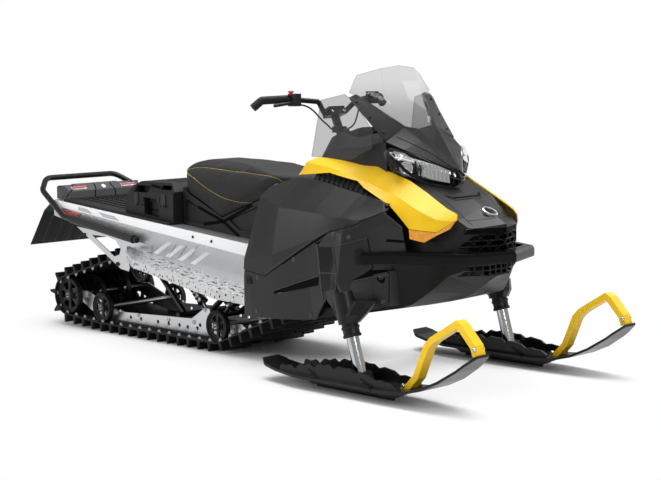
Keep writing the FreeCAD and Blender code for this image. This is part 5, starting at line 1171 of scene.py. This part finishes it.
# bright rim of the pointed rear corner, dark lip under the cover, and ribs
LAMP_CORNER = mm(((893, 216, 919), (924, 199, 886), (930, 176, 905), (893, 216, 919)))
LAMP_LIP = mm((
    (955, 242, 890), (975, 215, 850), (992, 190, 828), (1028, 140, 806), (1060, 90, 794), (1092, 44, 784),
))
LAMP_RIBS = mm(((1048, 24, 812), (966, 140, 846)))
RIB_OUTLINE = mm(((-20, -32), (14, -26), (22, 12), (-12, 40)))
lamp_shape = surface("headlamps")
backs, shelves, bowls, ribs, bulbs, lips = [Maker() for kind in range(6)]
for side in SIDES:
    flutes = []
    for step in range(FLUTE_STEPS + 1):
        x, y, low, high = [start + (end - start) * step / FLUTE_STEPS for start, end in zip(*FLUTES)]
        x -= FLUTE_DEPTH * (step % 2)
        flutes.append([Vector((x + 0.006, side * y, low)), Vector((x, side * y, high))])
    shelves.joined(flutes, closed=False)
    corners = [Vector(point) for point in mirrored(LAMP_CORNER, side)]
    for start, end in zip(corners, corners[1:]):
        shelves.wire([start, end], 0.0022, Vector((0.3, 0.2, 1)))
    backs.joined([[Vector((x, side * y, low)), Vector((x - 0.004, side * y, high))]
                  for x, y, low, high in LAMP_BACK], closed=False)
    backs.joined([[Vector((x, side * y, low)), Vector((x + 0.040, side * y, low - 0.002))]
                  for x, y, low, high in LAMP_BACK[:-1]], closed=False)
    shelf_rows = [[Vector(point) for point in mirrored(pair, side)] for pair in LAMP_SHELF]
    shelves.joined([[rear, rear.lerp(front, 0.34), rear.lerp(front, 0.38) - RISE * 0.010,
                     rear.lerp(front, 0.5) - RISE * 0.014] for rear, front in shelf_rows], closed=False)
    axis = Vector((LAMP_AIM.x, side * LAMP_AIM.y, LAMP_AIM.z)).normalized()
    spot = Vector((BOWL_AT.x, side * BOWL_AT.y, BOWL_AT.z))
    bowls.turned(spot, axis, scaled(BOWL, BOWL_RADIUS), 28)
    bulbs.turned(spot - axis * BOWL_RADIUS * 0.7, axis, BULB)
    for spot in mirrored(LAMP_RIBS, side):
        ribs.plate(Vector(spot), axis, RISE, RIB_OUTLINE, 0.006)
strip(lips, lamp_shape, LAMP_LIP, (-0.7, -0.7, 0), 0.013, 0.0010)
chrome = metal("lamp_chrome", (0.80, 0.805, 0.81), 0.1)
lips.piece("lamp_lips", gloss_black)
backs.piece("lamp_housings", body_black, "lamp_grey")
shelves.piece("lamp_shelves", chrome, "leg_chrome", sharp=10)
bowls.piece("lamp_bowls", chrome, "leg_chrome")
ribs.piece("lamp_ribs", gloss_black)
bulbs.piece("lamp_bulbs", lens_clear, "lamp_clear")

# Handlebar: black steel tube clamped on the leaning post by four bolts, with hooked ribbed
# rubber grips. The right switch block has a red stop button.
dress(black_coat, "handlebar", "steering_post")
GRIP_RIB_PITCH = 0.0065
grip_rubber = rubber("grip_rubber", RUBBER_BLACK, 0.55)
x, y, z = grip_rubber.axes()
grip_ribs = (abs(y) * (math.tau / GRIP_RIB_PITCH)).maths("SINE")
grip_rubber.bump(grip_ribs * 0.5 + grip_rubber.noise(300) * 0.3, 0.0012)
dress(grip_rubber, "grips")
dress(moulded("switch_black", (0.012, 0.012, 0.0125), 0.4), "bar_controls")
STOP_AT = Vector((0.362, -0.244, 1.1475))
STOP_BUTTON = mm(((8.5, -3), (8.5, 1), (7.5, 4.5), (12.5, 6), (12.5, 10), (10, 12), (2, 12.5)))
CLAMP_BOLTS = mm(((350, 34, 1090), (392, 34, 1090)))
ROCKER_AT = mm((345, 232, 1122))
ROCKER = corner_cut(0.010, 0.015, 0.004)
post_shape = surface("steering_post")
clamp_bolts = Maker()
seated(clamp_bolts, post_shape, CLAMP_BOLTS, DOWN, *pan_head(0.006))
clamp_bolts.piece("clamp_bolts", bright_steel, "axle_steel", "handlebars")
button = Maker()
button.turned(STOP_AT, RISE, STOP_BUTTON, 24)
button_red = moulded("button_red", (0.50, 0.012, 0.012), 0.3, wear_and_highlight=0.1)
button.piece("stop_button", button_red, "lens_red", "handlebars")
rockers = Maker()
for spot in mirrored((ROCKER_AT,), 1) + mirrored((ROCKER_AT,), -1):
    rockers.plate(Vector(spot), LEFT, RISE, ROCKER, 0.008)
rockers.piece("bar_rockers", moulded("rocker_grey", (0.09, 0.091, 0.094), 0.4), "panel_grey", "handlebars")

# Control cables: two rubber-sleeved lines from the switch blocks down to the post, held
# straight at both ends by their ferrules.
CABLE_RADIUS = 0.0035
CABLE_ROUTE = mm((
    (366, 214, 1102), (366, 184, 1102), (378, 140, 1083), (396, 106, 1038), (410, 76, 1010), (402, 50, 992),
    (402, 22, 992),
))
cable_black = rubber("cable_black", RUBBER_BLACK, 0.45)
for side, sign in (("right", -1), ("left", 1)):
    points = mirrored(CABLE_ROUTE, sign)
    cable = spline("cable_" + side, points, 8)
    cable.data.bevel_depth = CABLE_RADIUS
    cable.data.bevel_resolution = 3
    cable.data.use_fill_caps = True
    cable.data.materials.append(cable_black.material)
    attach(cable, "handlebars")
    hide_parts("control_cables")

# Ski legs: hard-chromed steel tubes that slide in the housings and turn with the bar. Each
# ends in a saddle whose cross pin carries the ski.
dress(metal("chrome", (0.56, 0.57, 0.58), 0.1), "ski_leg_right", "ski_leg_left")

# Skis: moulded black plastic with tall scalloped ribs, pinned to the legs' saddles, and
# yellow loops bolted on at both ends of the bow.
dress(moulded("ski_black", (0.0075, 0.0075, 0.008), 0.27, 0.0025), "ski_right", "ski_left")
loop_yellow = Finish("loop_yellow", Specular_IOR_Level=0.24)
cloud = loop_yellow.noise(5, 4)
loop_yellow.colour(cloud, (0.80, 0.50, 0.012), (0.98, 0.62, 0.016))
loop_yellow.set(Roughness=cloud * 0.1 + 0.3)
dress(loop_yellow, "ski_loop_right", "ski_loop_left")
LOOP_HALF = 0.023
LOOP_BOLTS = mm(((1196, 70, 8.5), (1545, 246, 8.5)))
SADDLE_HALF = 0.026
SADDLE_PIN = mm(((945, 70, 14),))
# raised marks on the skis' sides, each drawn twice: x and z of its ends
MARKS = mm((((735, 80), (775, 68)), ((1020, 80), (1085, 60))))
MARK_DROPS = (0, 0.013)
MARK_REACH = 0.12
for side, sign in (("right", -1), ("left", 1)):
    middle_y = sign * SKI_Y
    ski_shape = surface("ski_" + side)
    pins = Maker()
    side_bolts(pins, LOOP_HALF, LOOP_BOLTS, middle_y)
    side_bolts(pins, SADDLE_HALF, SADDLE_PIN, middle_y)
    pins.piece("ski_bolts_" + side, bright_steel, "axle_steel", "ski_set_" + side)
    marks = Maker()
    for out in SIDES:
        y = middle_y + out * MARK_REACH
        for (x0, z0), (x1, z1) in MARKS:
            for drop in MARK_DROPS:
                line = [(x0 + drop, y, z0 - drop), (x1 + drop, y, z1 - drop)]
                strip(marks, ski_shape, line, (0, -out, 0), 0.006, 0.0025, 0.01, ONCE)
    marks.piece("ski_marks_" + side, gloss_black, "ski_black", "ski_set_" + side)
